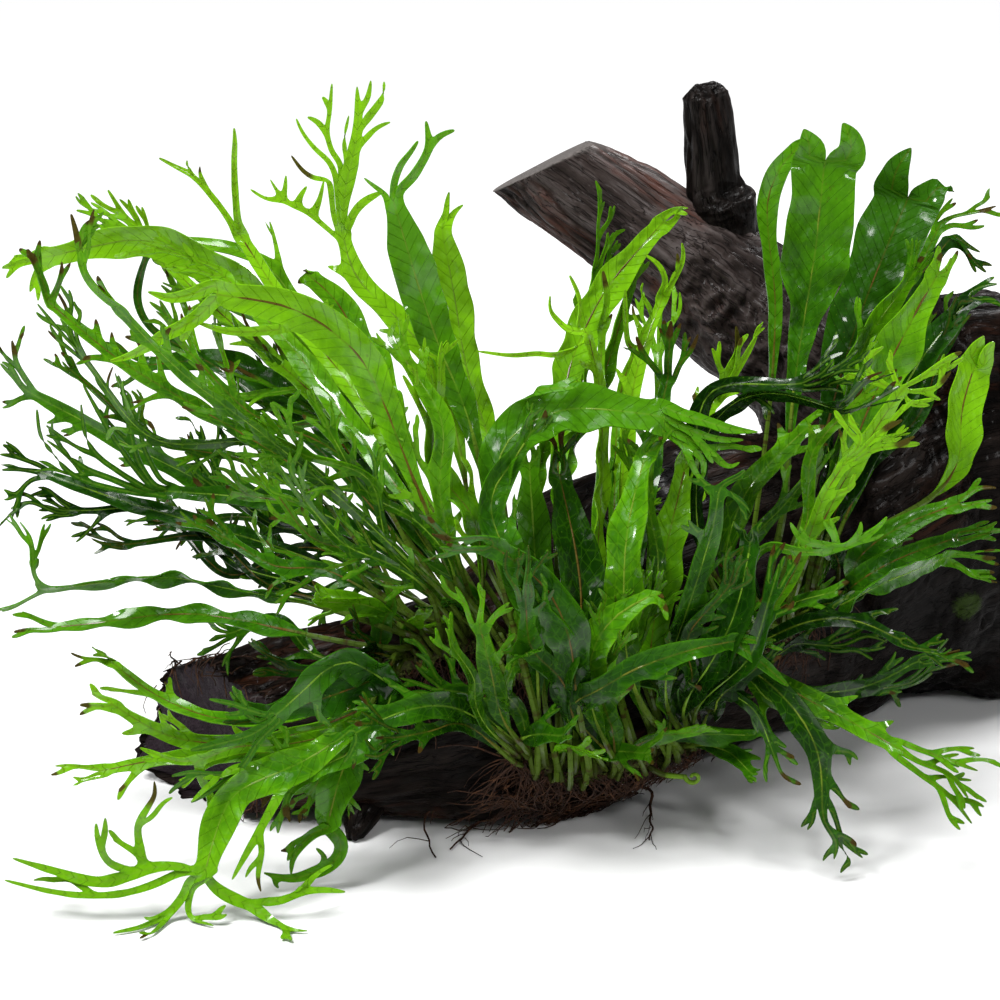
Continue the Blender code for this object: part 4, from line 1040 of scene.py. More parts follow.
fronds = {
    "left": [
        leaf(14, [(372, 712, -108), (351, 748, -116), (338, 784, -120), (330, 818, -122)], [[2.7,
            (337, 834), (342, 848), (332, 864), (312, 873), (290, 879), (264, 873)], [2.1,
            (316, 832), (303, 844), (294, 858), (291, 874)]], sprigs=[[1.0, (326, 868), (325, 856),
            (316, 848)], [0.9, (280, 877), (276, 885), (279, 888)]], crowd=1, ruffle=0.5,
            browned=0.1, prongs=1, light=0.4, end=0.78),
        leaf(13, [(378, 708, -116), (330, 748, -127), (268, 780, -130), (215, 825, -136),
            (195, 862, -143)], [[2.4, (176, 866), (150, 868), (118, 879), (95, 882), (60, 873),
            (12, 858)], [1.5, (182, 872), (150, 886), (112, 895), (60, 893), (4, 880)], [1.7,
            (190, 880), (184, 895), (172, 910), (160, 920), (140, 928), (113, 933)], [1.4,
            (194, 886), (188, 906), (192, 920), (214, 926)], [2.4, (204, 872), (216, 888),
            (232, 898), (255, 908), (276, 924), (292, 931), (308, 931)]], sprigs=[[1.6, (147, 864),
            (139, 842), (138, 824), (147, 808), (155, 795), (154, 781)], [1.4, (124, 874),
            (108, 862), (99, 842), (96, 823)], [0.8, (139, 850), (126, 846), (113, 840)], [1.6,
            (252, 905), (280, 901), (301, 892), (324, 890), (346, 892)], [0.9, (163, 916),
            (152, 920), (144, 917)], [1.0, (285, 928), (288, 937), (292, 940)], [0.8, (300, 893),
            (305, 887), (306, 880)]], lobes=[(0.72, 191, 802), (0.66, 232, 880)], tone="bright",
            finger=1.6, light=0.3, crowd=0, prongs=1, rise=1.0, end=0.84, ruffle=0.5, browned=0.06,
            teeth=0),
        leaf(6, [(378, 718, -100), (300, 750, -110), (184, 757, -114), (143, 758, -113),
            (108, 770, -112)], [(55, 766), (73, 777)], tone="bright", crowd=0),
        leaf(6, [(382, 702, -96), (300, 735, -102), (191, 747, -101), (153, 730, -99),
            (119, 708, -97)], [(80, 705), (92, 694)], tone="bright", crowd=0),
        leaf(6, [(384, 688, -91), (320, 712, -95), (249, 726, -93), (191, 714, -91),
            (134, 686, -89), (113, 664, -87)], [(71, 653), (92, 647)], tone="bright", crowd=0),
        leaf(13, [(390, 672, -110), (344, 690, -119), (300, 705, -121), (266, 712, -122)],
            [(232, 724), (236, 700)], tone="dark", crowd=1, ruffle=0.45),
        leaf(11, [(400, 650, -94), (330, 640, -82), (220, 617, -62), (172, 613, -56),
            (134, 616, -52), (100, 629, -50), (57, 628, -48)], [(14, 632), (22, 612)], stalk=0.34,
            ruffle=0.4, crowd=1, light=0.55,
            outline=(0.9, 3.0, 4.8, 4.6, 1.8, 4.4, 4.4, 2.0, 4.9, 4.7, 1.9, 3.0, 2.0)),
        leaf(13, [(405, 630, -88), (300, 592, -60), (210, 577, -42), (153, 559, -36),
            (115, 572, -33), (77, 584, -31), (48, 588, -30)], [(2, 611), (30, 560), (20, 522)],
            stalk=0.32, ruffle=0.4, crowd=1, light=0.4,
            outline=(0.9, 1.6, 2.0, 4.4, 5.4, 3.8, 1.8, 4.4, 5.0, 2.2, 4.0, 4.2, 2.2, 2.6)),
        leaf(8, [(430, 622, -78), (320, 562, -30), (190, 522, 5), (90, 492, 18), (45, 474, 22)],
            [(4, 500), (2, 470), (6, 448)], tone="dark"),
        leaf(9, [(440, 612, -66), (320, 540, -5), (180, 470, 40), (80, 420, 55), (30, 392, 60)],
            [(2, 408), (2, 362), (12, 340)], crowd=2),
        leaf(6, [(445, 600, -78), (330, 490, -54), (200, 410, -42), (100, 350, -38),
            (50, 304, -36)], [[1.7, (46, 292), (40, 276), (34, 262), (28, 249)], [1.1, (54, 296),
            (60, 280), (62, 262)]], sprigs=[[1.0, (31, 257), (24, 253), (19, 249)], [0.9,
            (33, 259), (38, 250), (40, 240)]], tone="bright", light=-0.15, crowd=4, prongs=1,
            browned=0.9, ruffle=0.5, teeth=6),
        leaf(5.5, [(440, 590, -94), (300, 460, -94), (190, 380, -92), (122, 312, -88)], [[1.5,
            (108, 300), (92, 284), (83, 268), (79, 250), (76, 230), (71, 214)], [1.1, (112, 300),
            (105, 292), (98, 284)]], sprigs=[[1.0, (78, 236), (84, 227), (92, 219)], [0.8,
            (79, 246), (86, 238), (95, 232)]], tone="bright", light=-0.15, crowd=4, prongs=1,
            browned=0.9, ruffle=0.5, teeth=6),
        leaf(14, [(438, 586, -62), (340, 440, 10), (255, 375, 34), (191, 353, 45), (150, 366, 50)],
            [(108, 350), (118, 388)], tone="dark", ruffle=0.45, crowd=2),
        leaf(15, [(447, 560, -60), (400, 440, -10), (310, 340, 8), (228, 274, 18), (191, 243, 21),
            (150, 234, 22), (105, 242, 22), (45, 257, 22)], [[1.7, (32, 260), (18, 263), (2, 268)],
            [1.8, (40, 268), (34, 280), (30, 292)], [1.2, (30, 256), (14, 256)]], tone="bright",
            light=0.75, crowd=2, prongs=1, rise=1.3),
        leaf(7, [(452, 560, -72), (340, 420, -20), (215, 310, 42), (152, 250, 55)], [[1.2,
            (146, 238), (138, 227), (127, 221), (118, 208), (108, 190)], [0.9, (150, 238),
            (146, 222), (142, 207)]], sprigs=[[0.9, (138, 227), (133, 213), (128, 199)]],
            tone="bright", light=0.8, crowd=2, prongs=1),
        leaf(18, [(462, 600, -92), (430, 520, -100), (383, 399, -96), (351, 335, -95),
            (287, 303, -100), (232, 281, -104)], [[3.0, (216, 297), (204, 311), (188, 323),
            (170, 331), (150, 344), (128, 356), (110, 361)], [2.8, (214, 284), (202, 290),
            (186, 296), (168, 298), (148, 292)]], sprigs=[[1.8, (188, 322), (186, 332),
            (181, 341)]], lobes=[(0.88, 196, 322)], tone="bright", finger=2.5, light=0.62, crowd=2,
            prongs=0, teeth=0, outline=(1.2, 2.6, 4.2, 5.6, 6.9, 7.4, 7.2, 6.0, 4.6)),
        leaf(8, [(466, 560, -72), (362, 400, -20), (280, 300, 5), (250, 262, 10), (242, 238, 12)],
            [[1.4, (238, 224), (236, 199), (234, 168), (235, 142), (234, 128)], [1.2, (232, 225),
            (220, 206), (204, 187), (191, 174), (179, 168), (159, 158)]], sprigs=[[0.9, (190, 174),
            (187, 168), (187, 160)], [0.9, (203, 186), (200, 176), (200, 166)]], tone="bright",
            light=0.95, crowd=0, prongs=0, teeth=0),
        leaf(10, [(480, 560, -86), (455, 420, -62), (432, 347, -50), (384, 303, -45),
            (350, 280, -42), (333, 240, -40)], [[1.1, (330, 231), (319, 222), (306, 211),
            (290, 204), (281, 197), (270, 179)], [1.1, (333, 214), (331, 190), (328, 178),
            (318, 180), (303, 171), (291, 155)], [1.1, (338, 206), (336, 178), (328, 161),
            (314, 148), (302, 132), (296, 118)], [1.2, (341, 190), (341, 166), (332, 152),
            (327, 132), (330, 110), (332, 83)], [3.0, (343, 214), (347, 180), (354, 150),
            (358, 120), (357, 86)], [1.9, (346, 232), (354, 212), (368, 199), (384, 191)]],
            sprigs=[[0.8, (313, 214), (320, 198), (324, 180)], [0.8, (293, 205), (300, 196),
            (307, 186)], [0.7, (283, 199), (285, 188), (286, 175)], [0.5, (283, 203), (266, 199),
            (250, 189)], [1.5, (359, 124), (374, 110), (383, 97), (384, 81)], [1.0, (356, 144),
            (376, 128), (391, 122)], [0.9, (358, 112), (368, 98), (371, 80)], [0.7, (329, 128),
            (318, 122), (307, 117)], [0.7, (331, 104), (325, 100), (322, 97)], [0.7, (350, 160),
            (344, 138), (349, 115)]], tone="bright", light=0.8, crowd=0, prongs=0, teeth=1,
            browned=0.12, stalk=0.42),
        leaf(15, [(500, 600, -92), (487, 500, -72), (470, 420, -50), (443, 360, -42),
            (422, 299, -36), (407, 251, -32), (394, 205, -30)], [[0.9, (386, 194), (375, 187),
            (364, 178)], [3.1, (393, 190), (396, 176), (401, 164), (410, 154), (418, 141)], [3.3,
            (398, 192), (411, 178), (422, 162), (429, 145), (426, 121)]], sprigs=[[0.8, (427, 146),
            (440, 135), (455, 130)]], light=0.75, crowd=0, prongs=0, end=0.95, teeth=0,
            ruffle=0.35, stalk=0.45, outline=(1.2, 3.2, 4.8, 5.4, 6.6, 7.6, 8.0, 7.0, 3.6)),
        leaf(12, [(516, 592, -70), (500, 470, -20), (476, 400, -2), (460, 347, 5), (457, 305, 8),
            (447, 261, 10), (443, 230, 10)], [[1.5, (446, 216), (447, 204), (449, 192)], [1.2,
            (450, 218), (456, 210), (463, 205)]], tone="bright", light=0.9, crowd=0, prongs=0,
            end=0.93, teeth=0, ruffle=0.45, stalk=0.46,
            outline=(1.0, 3.2, 5.0, 5.6, 6.0, 6.8, 7.2, 6.6, 3.6)),
    ],
    "front": [
        leaf(10, [(498, 735, -96), (455, 704, -112), (405, 708, -124), (365, 728, -130)],
            [(328, 745), (344, 762)]),
        leaf(9, [(505, 728, -100), (492, 670, -118), (482, 632, -124)], [(455, 586), (485, 590),
            (510, 602)], tone="bright"),
        leaf(18, [(530, 690, -104), (494, 540, -96), (496, 450, -78), (540, 413, -70),
            (600, 406, -70), (655, 416, -72)], [[2.6, (678, 414), (703, 421), (732, 430),
            (758, 432)], [1.8, (676, 424), (701, 435), (722, 440), (744, 440)], [2.0, (670, 430),
            (690, 440), (713, 454), (728, 468), (740, 462)], [1.8, (668, 434), (688, 448),
            (704, 462), (702, 480)]], lobes=[(0.8, 575, 388)], finger=2.2, light=0.5, crowd=1,
            prongs=1, rise=0.9, teeth=0, stalk=0.55, end=0.84, ruffle=0.3, browned=0.0),
        leaf(14, [(560, 660, -90), (556, 540, -55), (558, 440, -20), (572, 347, 10),
            (603, 290, 25), (624, 250, 35), (660, 225, 42)], [(688, 208), (680, 216)],
            tone="bright", light=0.7, stalk=0.42, rise=1.3),
        leaf(18, [(574, 690, -98), (582, 608, -92), (573, 541, -78), (560, 484, -64)], [(551, 434),
            (559, 432)]),
        leaf(16, [(577, 700, -108), (572, 637, -121), (548, 582, -124), (500, 550, -126)],
            [(432, 534), (440, 547)]),
        leaf(9, [(592, 650, -86), (598, 520, -50), (602, 430, -25), (598, 372, -15),
            (588, 338, -10)], [[1.2, (574, 348), (552, 355), (534, 353), (506, 355), (476, 351)],
            [1.5, (568, 330), (557, 320), (549, 310), (550, 296)], [1.4, (576, 330), (579, 312),
            (577, 295), (569, 275)]], tone="bright", finger=1.5, light=0.95, crowd=0, prongs=0,
            teeth=1),
        leaf(12, [(592, 712, -106), (592, 645, -124), (622, 602, -130), (650, 597, -131)],
            [(668, 610), (664, 598)], tone="bright", light=0.0),
        leaf(7, [(606, 650, -82), (620, 500, -40), (630, 400, -15), (641, 340, 0), (661, 300, 8)],
            [[1.3, (668, 290), (678, 272), (684, 258), (682, 243)], [1.3, (664, 288), (664, 276),
            (656, 263), (645, 255)]], sprigs=[[0.8, (673, 281), (677, 268), (677, 253)]],
            tone="bright", light=0.9, crowd=1, prongs=0),
        leaf(9, [(618, 650, -84), (642, 520, -56), (655, 430, -36), (667, 382, -26)], [[1.2,
            (656, 370), (643, 354), (636, 336)], [1.7, (668, 366), (669, 350), (670, 336),
            (671, 321)], [1.2, (680, 364), (692, 349), (698, 334)]], sprigs=[[1.2, (670, 338),
            (677, 331), (681, 323)], [1.1, (670, 336), (664, 329), (664, 320)]], light=0.0,
            crowd=1, prongs=1, browned=1.0),
        leaf(9, [(634, 660, -86), (667, 540, -62), (692, 450, -42), (712, 402, -32)], [[2.2,
            (722, 384), (730, 368), (738, 352), (736, 326)], [1.7, (728, 384), (742, 362),
            (757, 335)], [1.4, (726, 394), (738, 392), (748, 386)]], sprigs=[[1.2, (724, 378),
            (716, 362), (712, 348)]], tone="bright", light=0.7, crowd=1, prongs=1),
        leaf(14, [(636, 700, -96), (624, 604, -106), (628, 520, -92), (645, 460, -78)],
            [(658, 432), (665, 434)], tone="bright", light=-0.1),
        leaf(9, [(660, 702, -92), (682, 622, -112), (705, 552, -118), (721, 505, -120)],
            [(700, 478), (745, 470), (751, 514)]),
        leaf(15, [(678, 716, -88), (715, 662, -104), (742, 602, -104), (750, 550, -98)],
            [(752, 528), (744, 530)], tone="dark"),
    ],
    "right": [
        leaf(10, [(712, 672, -72), (736, 657, -96), (776, 690, -110), (808, 716, -114),
            (824, 760, -116), (822, 800, -116)], [(807, 830), (834, 859), (863, 858)]),
        leaf(9, [(722, 670, -70), (762, 668, -96), (806, 702, -106), (852, 722, -110),
            (891, 745, -112)], [(972, 824), (968, 798), (978, 771)], tone="bright"),
        leaf(7, [(732, 668, -70), (800, 692, -90), (862, 690, -100), (910, 664, -104)],
            [(968, 664), (960, 650)]),
        leaf(6, [(738, 655, -72), (790, 627, -88), (843, 612, -94), (891, 636, -100)], [(948, 660),
            (938, 650)], tone="dark"),
        leaf(12, [(712, 600, -66), (692, 500, -50), (706, 422, -42), (748, 382, -38),
            (790, 394, -38), (830, 406, -38)], [(900, 386), (882, 372), (863, 388)], tone="dark"),
        leaf(10, [(722, 600, -62), (738, 502, -56), (775, 458, -50), (803, 432, -48)], [(822, 414),
            (826, 426)], tone="bright"),
        leaf(27, [(752, 616, -56), (778, 560, -48), (786, 500, -36), (790, 400, -22),
            (801, 330, -14), (811, 272, -8), (823, 205, -4), (829, 170, -2)], [[5.6, (809, 148),
            (804, 129)], [6.8, (851, 146), (843, 123)]], finger=6.4, light=0.4, stalk=0.44,
            crowd=0, teeth=0, prongs=0, browned=0.0, ruffle=0.28,
            outline=(1.5, 2.6, 3.9, 4.6, 7.4, 12.6, 14.0, 12.9, 12.4)),
        leaf(30, [(768, 606, -46), (805, 520, -24), (834, 400, 0), (863, 307, 20), (890, 242, 32),
            (904, 205, 38)], [[6.2, (896, 172), (911, 148)], [6.8, (940, 186), (954, 192)]],
            tone="dark", finger=6.4, light=0.45, stalk=0.4, crowd=0, teeth=0, prongs=0,
            browned=0.0, ruffle=0.3, outline=(1.5, 3.2, 6.3, 9.2, 12.0, 11.2, 11.8, 13.8, 13.0)),
        leaf(9, [(782, 612, -66), (830, 504, -70), (870, 434, -72), (898, 394, -74)], [[1.7,
            (886, 386), (872, 376), (864, 362), (870, 350)], [1.0, (896, 384), (892, 371),
            (886, 360)], [1.1, (908, 384), (925, 374), (940, 362), (958, 356)], [1.0, (908, 392),
            (925, 390), (938, 388), (951, 371)], [1.1, (904, 400), (916, 404), (930, 405)]],
            tone="bright", light=0.75, crowd=1, prongs=2, stalk=0.5, rise=1.3),
        leaf(18, [(786, 606, -56), (838, 480, -42), (884, 368, -30), (912, 318, -24),
            (934, 278, -20)], [(942, 254), (951, 258)], tone="bright", light=0.35, stalk=0.45),
        leaf(12, [(790, 600, -42), (852, 430, 6), (896, 312, 34), (924, 257, 44), (948, 240, 49)],
            [(980, 252), (986, 272)], tone="dark"),
        leaf(8, [(796, 596, -36), (862, 440, 20), (906, 300, 60), (938, 228, 74)], [(953, 198),
            (996, 206), (985, 226)], tone="bright"),
        leaf(14, [(800, 606, -52), (864, 460, -32), (930, 346, -16), (966, 303, -10)], [(997, 284),
            (996, 300)], tone="dark"),
        leaf(20, [(808, 570, -30), (884, 524, -14), (955, 480, -4), (956, 414, 0), (972, 370, 2)],
            [[4.0, (976, 348), (984, 336)], [4.0, (986, 352), (994, 342)]], tone="bright",
            light=0.7, crowd=0, teeth=0, prongs=0, stalk=0.58,
            outline=(1.5, 4.5, 8.5, 10.0, 9.8, 9.0, 8.6)),
        leaf(9, [(840, 606, -106), (870, 588, -114), (910, 573, -112), (945, 558, -105)],
            [(996, 558), (992, 576)], light=0.35, crowd=0, ruffle=0.4, teeth=0),
        leaf(9, [(846, 590, -88), (886, 562, -94), (950, 540, -96)], [(997, 522), (994, 532)],
            light=0.1, crowd=0, teeth=0),
        leaf(10, [(850, 562, -64), (895, 528, -62), (950, 507, -60)], [(996, 488), (992, 500)],
            light=0.3, crowd=0, teeth=0),
    ],
}

frondShape = {
    "rowGap": 0.0042,          # between rows of a blade
    "fingerGap": 0.0032,
    "thickness": 0.00050,
    "stalkRadius": 0.00095,
    "ribRadius": 0.00042,
    "tipHalfWidth": 0.00040,
    "crownLift": 0.0026,
    "trough": 0.20,            # how far the blade's sides rise, as a share of its half width
    "ruffle": 0.20,
    "ruffleLength": 0.019,
    "blister": 0.0007,
    "lowest": 0.0012,
    "broadFinger": 0.0022,     # half width from which a finger is a plain lobe
    "leastHalf": 0.0005,
    "prongSize": (0.0040, 0.018),
    "prongTurn": (0.35, 0.75),
    "sprigReach": 0.02,        # a longer lobe grows prongs of its own
}
# what a frond has when its own entry says nothing
plainFrond = {"rise": 1.0, "end": 0.90, "prongs": 2, "ruffle": None, "sprigs": (),
              "outline": None, "browned": None, "lace": (0.72, 0.006, 0.013)}


def halfWidth(share, frond):
    stalk, width, end, rise = (frond[key] for key in ("stalk", "width", "end", "rise"))
    if share <= stalk:
        return frondShape["stalkRadius"] * 0.6
    inner = (share - stalk) / (1 - stalk)
    if frond["outline"]:
        spots = np.linspace(0, 1, len(frond["outline"]))
        return float(np.interp(inner, spots, frond["outline"])) / 1000
    shape = math.sin(math.pi * min(inner ** rise, 1.0) * end) ** 0.85
    return 0.0009 + (width / 2000 - 0.0009) * shape


class LeafSheet(Shape):        # the blades of one piece
    def point(self, where, place, look):
        vert = self.shape.verts.new((where.x, where.y, max(where.z, frondShape["lowest"])))
        vert[self.placeLayer] = place
        vert[self.lookLayer] = look
        return vert

    def strip(self, low, high):
        for k in range(len(low) - 1):
            self.shape.faces.new((low[k], low[k + 1], high[k + 1], high[k]))

    def piece(self, name, material):
        bmesh.ops.recalc_face_normals(self.shape, faces=self.shape.faces)
        made = self.made(name, material)
        pick(made)
        smoother = made.modifiers.new("smoother", "SUBSURF")
        smoother.levels = smoother.render_levels = 1
        body = made.modifiers.new("body", "SOLIDIFY")
        body.thickness = frondShape["thickness"]
        body.offset = 0.0
        bpy.ops.object.modifier_apply(modifier=smoother.name)
        bpy.ops.object.modifier_apply(modifier=body.name)
        return made


def seenGap(a, b):             # how far apart two points look, at the first one's distance
    away = (a - eye).length
    return ((a - eye) - (b - eye).normalized() * away).length


def inBox(point, margin):
    low, high = cadBox
    return Vector((min(max(point.x, low.x + margin), high.x - margin),
                   min(max(point.y, low.y + margin), high.y - margin),
                   min(max(point.z, frondShape["lowest"]), high.z - margin)))


def growFinger(sheet, base, ahead, face, target, start, frond, rng, depth):
    # a strap-like finger from the points of its root, with side prongs that fork again
    root = (base[0].co + base[-1].co) / 2
    traced = isinstance(target, dict)
    goals = target["path"] if traced else [target]
    straight = goals[-1] - root
    if straight.length < 0.0015:
        return
    if len(goals) == 1:
        bend = root + (ahead.normalized() + straight.normalized()) * straight.length * 0.22
        sway = ahead.cross(face).normalized() * straight.length * rng.uniform(-0.14, 0.14)
        low = root.lerp(bend, 0.6).lerp(straight * 0.35 + root, 0.3)
        goals = [low, root + straight * 0.68 + sway, goals[0]]
    line = Route([root] + goals, 6)
    reach = line.length
    rootHalf = (base[0].co - base[-1].co).length / 2
    rows = max(3 if traced else 2, round(reach / frondShape["fingerGap"]))
    columns = len(base) - 1
    tip = frondShape["tipHalfWidth"] * rng.uniform(0.6, 1.3)
    if traced:
        body = min(target["half"] / 1000, reach * 0.60)
    else:
        body = frond["finger"] / 1000 * (1.0, 0.66, 0.5)[depth] * rng.uniform(0.75, 1.15)
        body = min(body, reach * 0.34)
    body = max(body, frondShape["leastHalf"])
    broad = body > frondShape["broadFinger"] and depth == 0
    if broad and frond["outline"]:
        body = rootHalf
    browned = rng.random() < frond["browned"]
    curl = rng.uniform(-0.12, 0.12) * reach
    rowsMade, aims = [base], []
    seed, tone = frond["seed"], frond["light"]
    for row in range(1, rows + 1):
        t = row / rows
        centre, along = line.at(t), line.along(t)
        side = along.cross(face).normalized()
        side *= math.copysign(1, side.dot(base[0].co - base[-1].co) or 1)
        settle = min(1, t / 0.35) if broad else min(1, row / 2)
        taper = (1 - t ** 1.9) ** 0.85 if broad else (1 - t) ** 0.58
        half = (rootHalf * (1 - settle) + body * settle) * taper + tip * min(t * 1.5, 1)
        lift = face * (curl * t * t * (1 - t) * 2)
        brown = max(0, (t - 0.9) / 0.2) * 0.4
        if browned and depth < 2:
            brown = max(0, (t - 0.60) / 0.30)
        made = []
        for k in range(columns + 1):
            u = 1 - 2 * k / columns
            uneven = noise.noise(Vector((start * 300 + row * 0.62, 9 if u > 0 else 2, seed)))
            uneven = 1 + 0.26 * abs(u) * uneven
            spot = centre + side * half * u * uneven + lift - face * (half * 0.34 * abs(u))
            # painted light: fingers grow lighter towards their ends, as if lit through
            reading = (0.5 if columns == 1 else abs(u), brown, min(1, tone + 0.15 + 0.15 * t))
            made.append(sheet.point(spot, (u * half, start + reach * t, seed), reading))
        sheet.strip(rowsMade[-1], made)
        rowsMade.append(made)
        aims.append((along, side))
    taken = set()
    if depth < 2 and reach >= 0.006 and not broad:
        room = max(1, round(reach / 0.012)) if depth == 0 else int(reach >= 0.008)
        prongs = min(room, frond["prongs"])
        hand = rng.choice((0, -1))
        for k in range(prongs):
            spot = 0.30 + 0.52 * (k + rng.uniform(0.2, 0.8)) / prongs
            row = min(max(1, round(rows * spot)), rows - 1)
            along, side = aims[row]
            outward = side if hand == 0 else -side
            pair = [rowsMade[row][hand], rowsMade[row + 1][hand]]
            taken.add((row, hand))
            shortest, longest = frondShape["prongSize"]
            size = reach * rng.uniform(0.22, 0.50) * (1.2 - spot * 0.6)
            size = min(max(size, shortest), longest)
            opening = rng.uniform(*frondShape["prongTurn"])
            direction = (along * math.cos(opening) + outward * math.sin(opening)
                         + face * rng.uniform(-0.3, 0.3)).normalized()
            middle = (pair[0].co + pair[1].co) / 2
            goal = inBox(middle + direction * size + along * size * 0.25, 0.001)
            growFinger(sheet, pair, outward + along * 0.8, face, goal, start + reach * spot,
                       frond, rng, depth + 1)
            hand = -1 if hand == 0 else 0
    for row in range(1, rows):
        for hand in (0, -1):
            if (row, hand) not in taken:
                along, side = aims[row]
                outward = side if hand == 0 else -side
                frond["joints"].append((rowsMade[row][hand], rowsMade[row + 1][hand], outward,
                                        along, face, start + reach * row / rows))


def growSprig(sheet, sprig, frond, rng):
    # a traced fork, from the free edge nearest to its first point
    first, heading = sprig["path"][0], (sprig["path"][-1] - sprig["path"][0]).normalized()

    def fit(joint):
        middle = (joint[0].co + joint[1].co) / 2
        return seenGap(middle, first) - 0.0012 * joint[2].dot(heading)

    joint = min(frond["joints"], key=fit)
    frond["joints"] = [other for other in frond["joints"]
                       if other[0] not in joint[:2] and other[1] not in joint[:2]]
    near = ((joint[0].co + joint[1].co) / 2 - eye).length / (first - eye).length
    path = [eye + (p - eye) * near for p in sprig["path"][1:]]
    growFinger(sheet, list(joint[:2]), joint[2] + joint[3] * 0.8, joint[4],
               {"half": sprig["half"], "path": path}, joint[5], frond, rng, 1)


def frameAt(route, sideAt, share):     # the ways along, to the side and out of the blade
    along, side = route.along(share), sideAt(share)
    side = (side - along * side.dot(along)).normalized()
    return along, side, side.cross(along)


def lightAt(frond, share):     # painted light and shade: blades are lighter towards the tip and darker low down, inside the plant
    return frond["light"] + 1.05 * (share - 0.82)


def growBlade(sheet, route, sideAt, frond, columns, rng):
    # rows of points from just below the blade to its end, with ruffled edges
    seed, length, width = frond["seed"], route.length, frond["width"]
    first = frond["stalk"] - 0.06
    rows = max(8, round(length * (1 - first) / frondShape["rowGap"]))
    shares = [first + (1 - first) * i / rows for i in range(rows + 1)]
    ruffle = (frond["ruffle"] or frondShape["ruffle"]) * rng.uniform(0.8, 1.5)
    waves = [length / (frondShape["ruffleLength"] * rng.uniform(0.8, 1.4)) * 2 * math.pi
             for _ in range(2)]
    phases = [rng.uniform(0, 6.3) for _ in range(2)]
    bulge = frondShape["blister"] * min(width / 14, 1.3)
    scallop = 0.03 if frond["outline"] else 0.13
    grid = []
    for share in shares:
        _, side, face = frameAt(route, sideAt, share)
        centre, half = route.at(share), halfWidth(share, frond)
        inner = (share - first) / (1 - first)
        row = []
        for k in range(columns + 1):
            u = 1 - 2 * k / columns
            hand = 0 if u > 0 else 1
            edge = abs(u)
            wave = math.sin(waves[hand] * share + phases[hand])
            wave *= math.sin(math.pi * min(inner * 1.1, 1))
            slow = math.sin(waves[hand] * share * 0.7 + phases[1 - hand])
            rough = noise.noise(Vector((share * length * 130, hand * 9, seed)))
            breadth = 1 + edge * (scallop * slow + 0.08 * rough)
            off = half * (ruffle * wave - frondShape["trough"]) * edge ** 1.6
            dent = noise.noise(Vector((half * u * 150, share * length * 120, seed)))
            off += bulge * dent * min(1, 3 * inner)
            where = centre + side * half * u * breadth + face * off
            row.append(sheet.point(where, (half * u, share * length, seed),
                                   (edge, 0.0, lightAt(frond, share))))
        grid.append(row)
    for low, high in zip(grid, grid[1:]):
        sheet.strip(low, high)
    return shares, grid


def growTips(sheet, route, sideAt, frond, top, targets, rng):
    # a crown of points past the blade's last row, then a finger to each target
    along, side, face = frameAt(route, sideAt, 1.0)
    centre, columns, start = route.at(1.0), len(top) - 1, route.length + 0.003
    reach = (top[0].co - top[-1].co).length / 2
    reach += 0 if frond["outline"] else min(0.0016, frond["finger"] / 1000)
    crown = []
    for k in range(columns + 1):
        u = 1 - 2 * k / columns
        rise = 0.0015 + frondShape["crownLift"] * (1 - u * u)
        # painted light: the crown is lighter than the blade below it
        crown.append(sheet.point(centre + side * reach * u + along * rise,
                                 (reach * u, start, frond["seed"]),
                                 (abs(u), 0.0, frond["light"] + 0.15)))
    sheet.strip(top, crown)

    def turnOf(target):
        goal = target["path"][-1] if isinstance(target, dict) else target
        return -math.atan2((goal - centre).dot(side), (goal - centre).dot(along))

    bounds = [round(columns * k / len(targets)) for k in range(len(targets) + 1)]
    for k, target in enumerate(sorted(targets, key=turnOf)):
        growFinger(sheet, crown[bounds[k]:bounds[k + 1] + 1], along, face, target, start,
                   frond, rng, 0)


def growStem(stems, route, frond):     # stalk and midrib as one tapering tube
    stalk, seed, broad = frond["stalk"], frond["seed"], min(frond["width"], 18)
    thick = frondShape["stalkRadius"] * (0.75 + 0.03 * broad)
    rib = frondShape["ribRadius"] * (0.7 + 0.02 * broad)
    steps = max(14, round(route.length / 0.006))
    points, radii, readings = [], [], []
    for i in range(steps + 1):
        share = i / steps
        inner = (share - stalk) / (1 - stalk)
        radius = thick * (1.3 - 0.3 * share / stalk)
        if inner >= 0:
            radius = max(rib * (1 - 0.45 * inner), thick + (rib - thick) * min(inner / 0.22, 1))
        point = route.at(share)
        points.append(Vector((point.x, point.y, max(point.z, radius))))
        radii.append(radius)
        below = 1.0 if share < stalk + 0.04 else 0.0
        readings.append(((0.0, share * route.length, seed), (0.0, below, lightAt(frond, share))))
    stems.tube(points, radii, 6, readings)


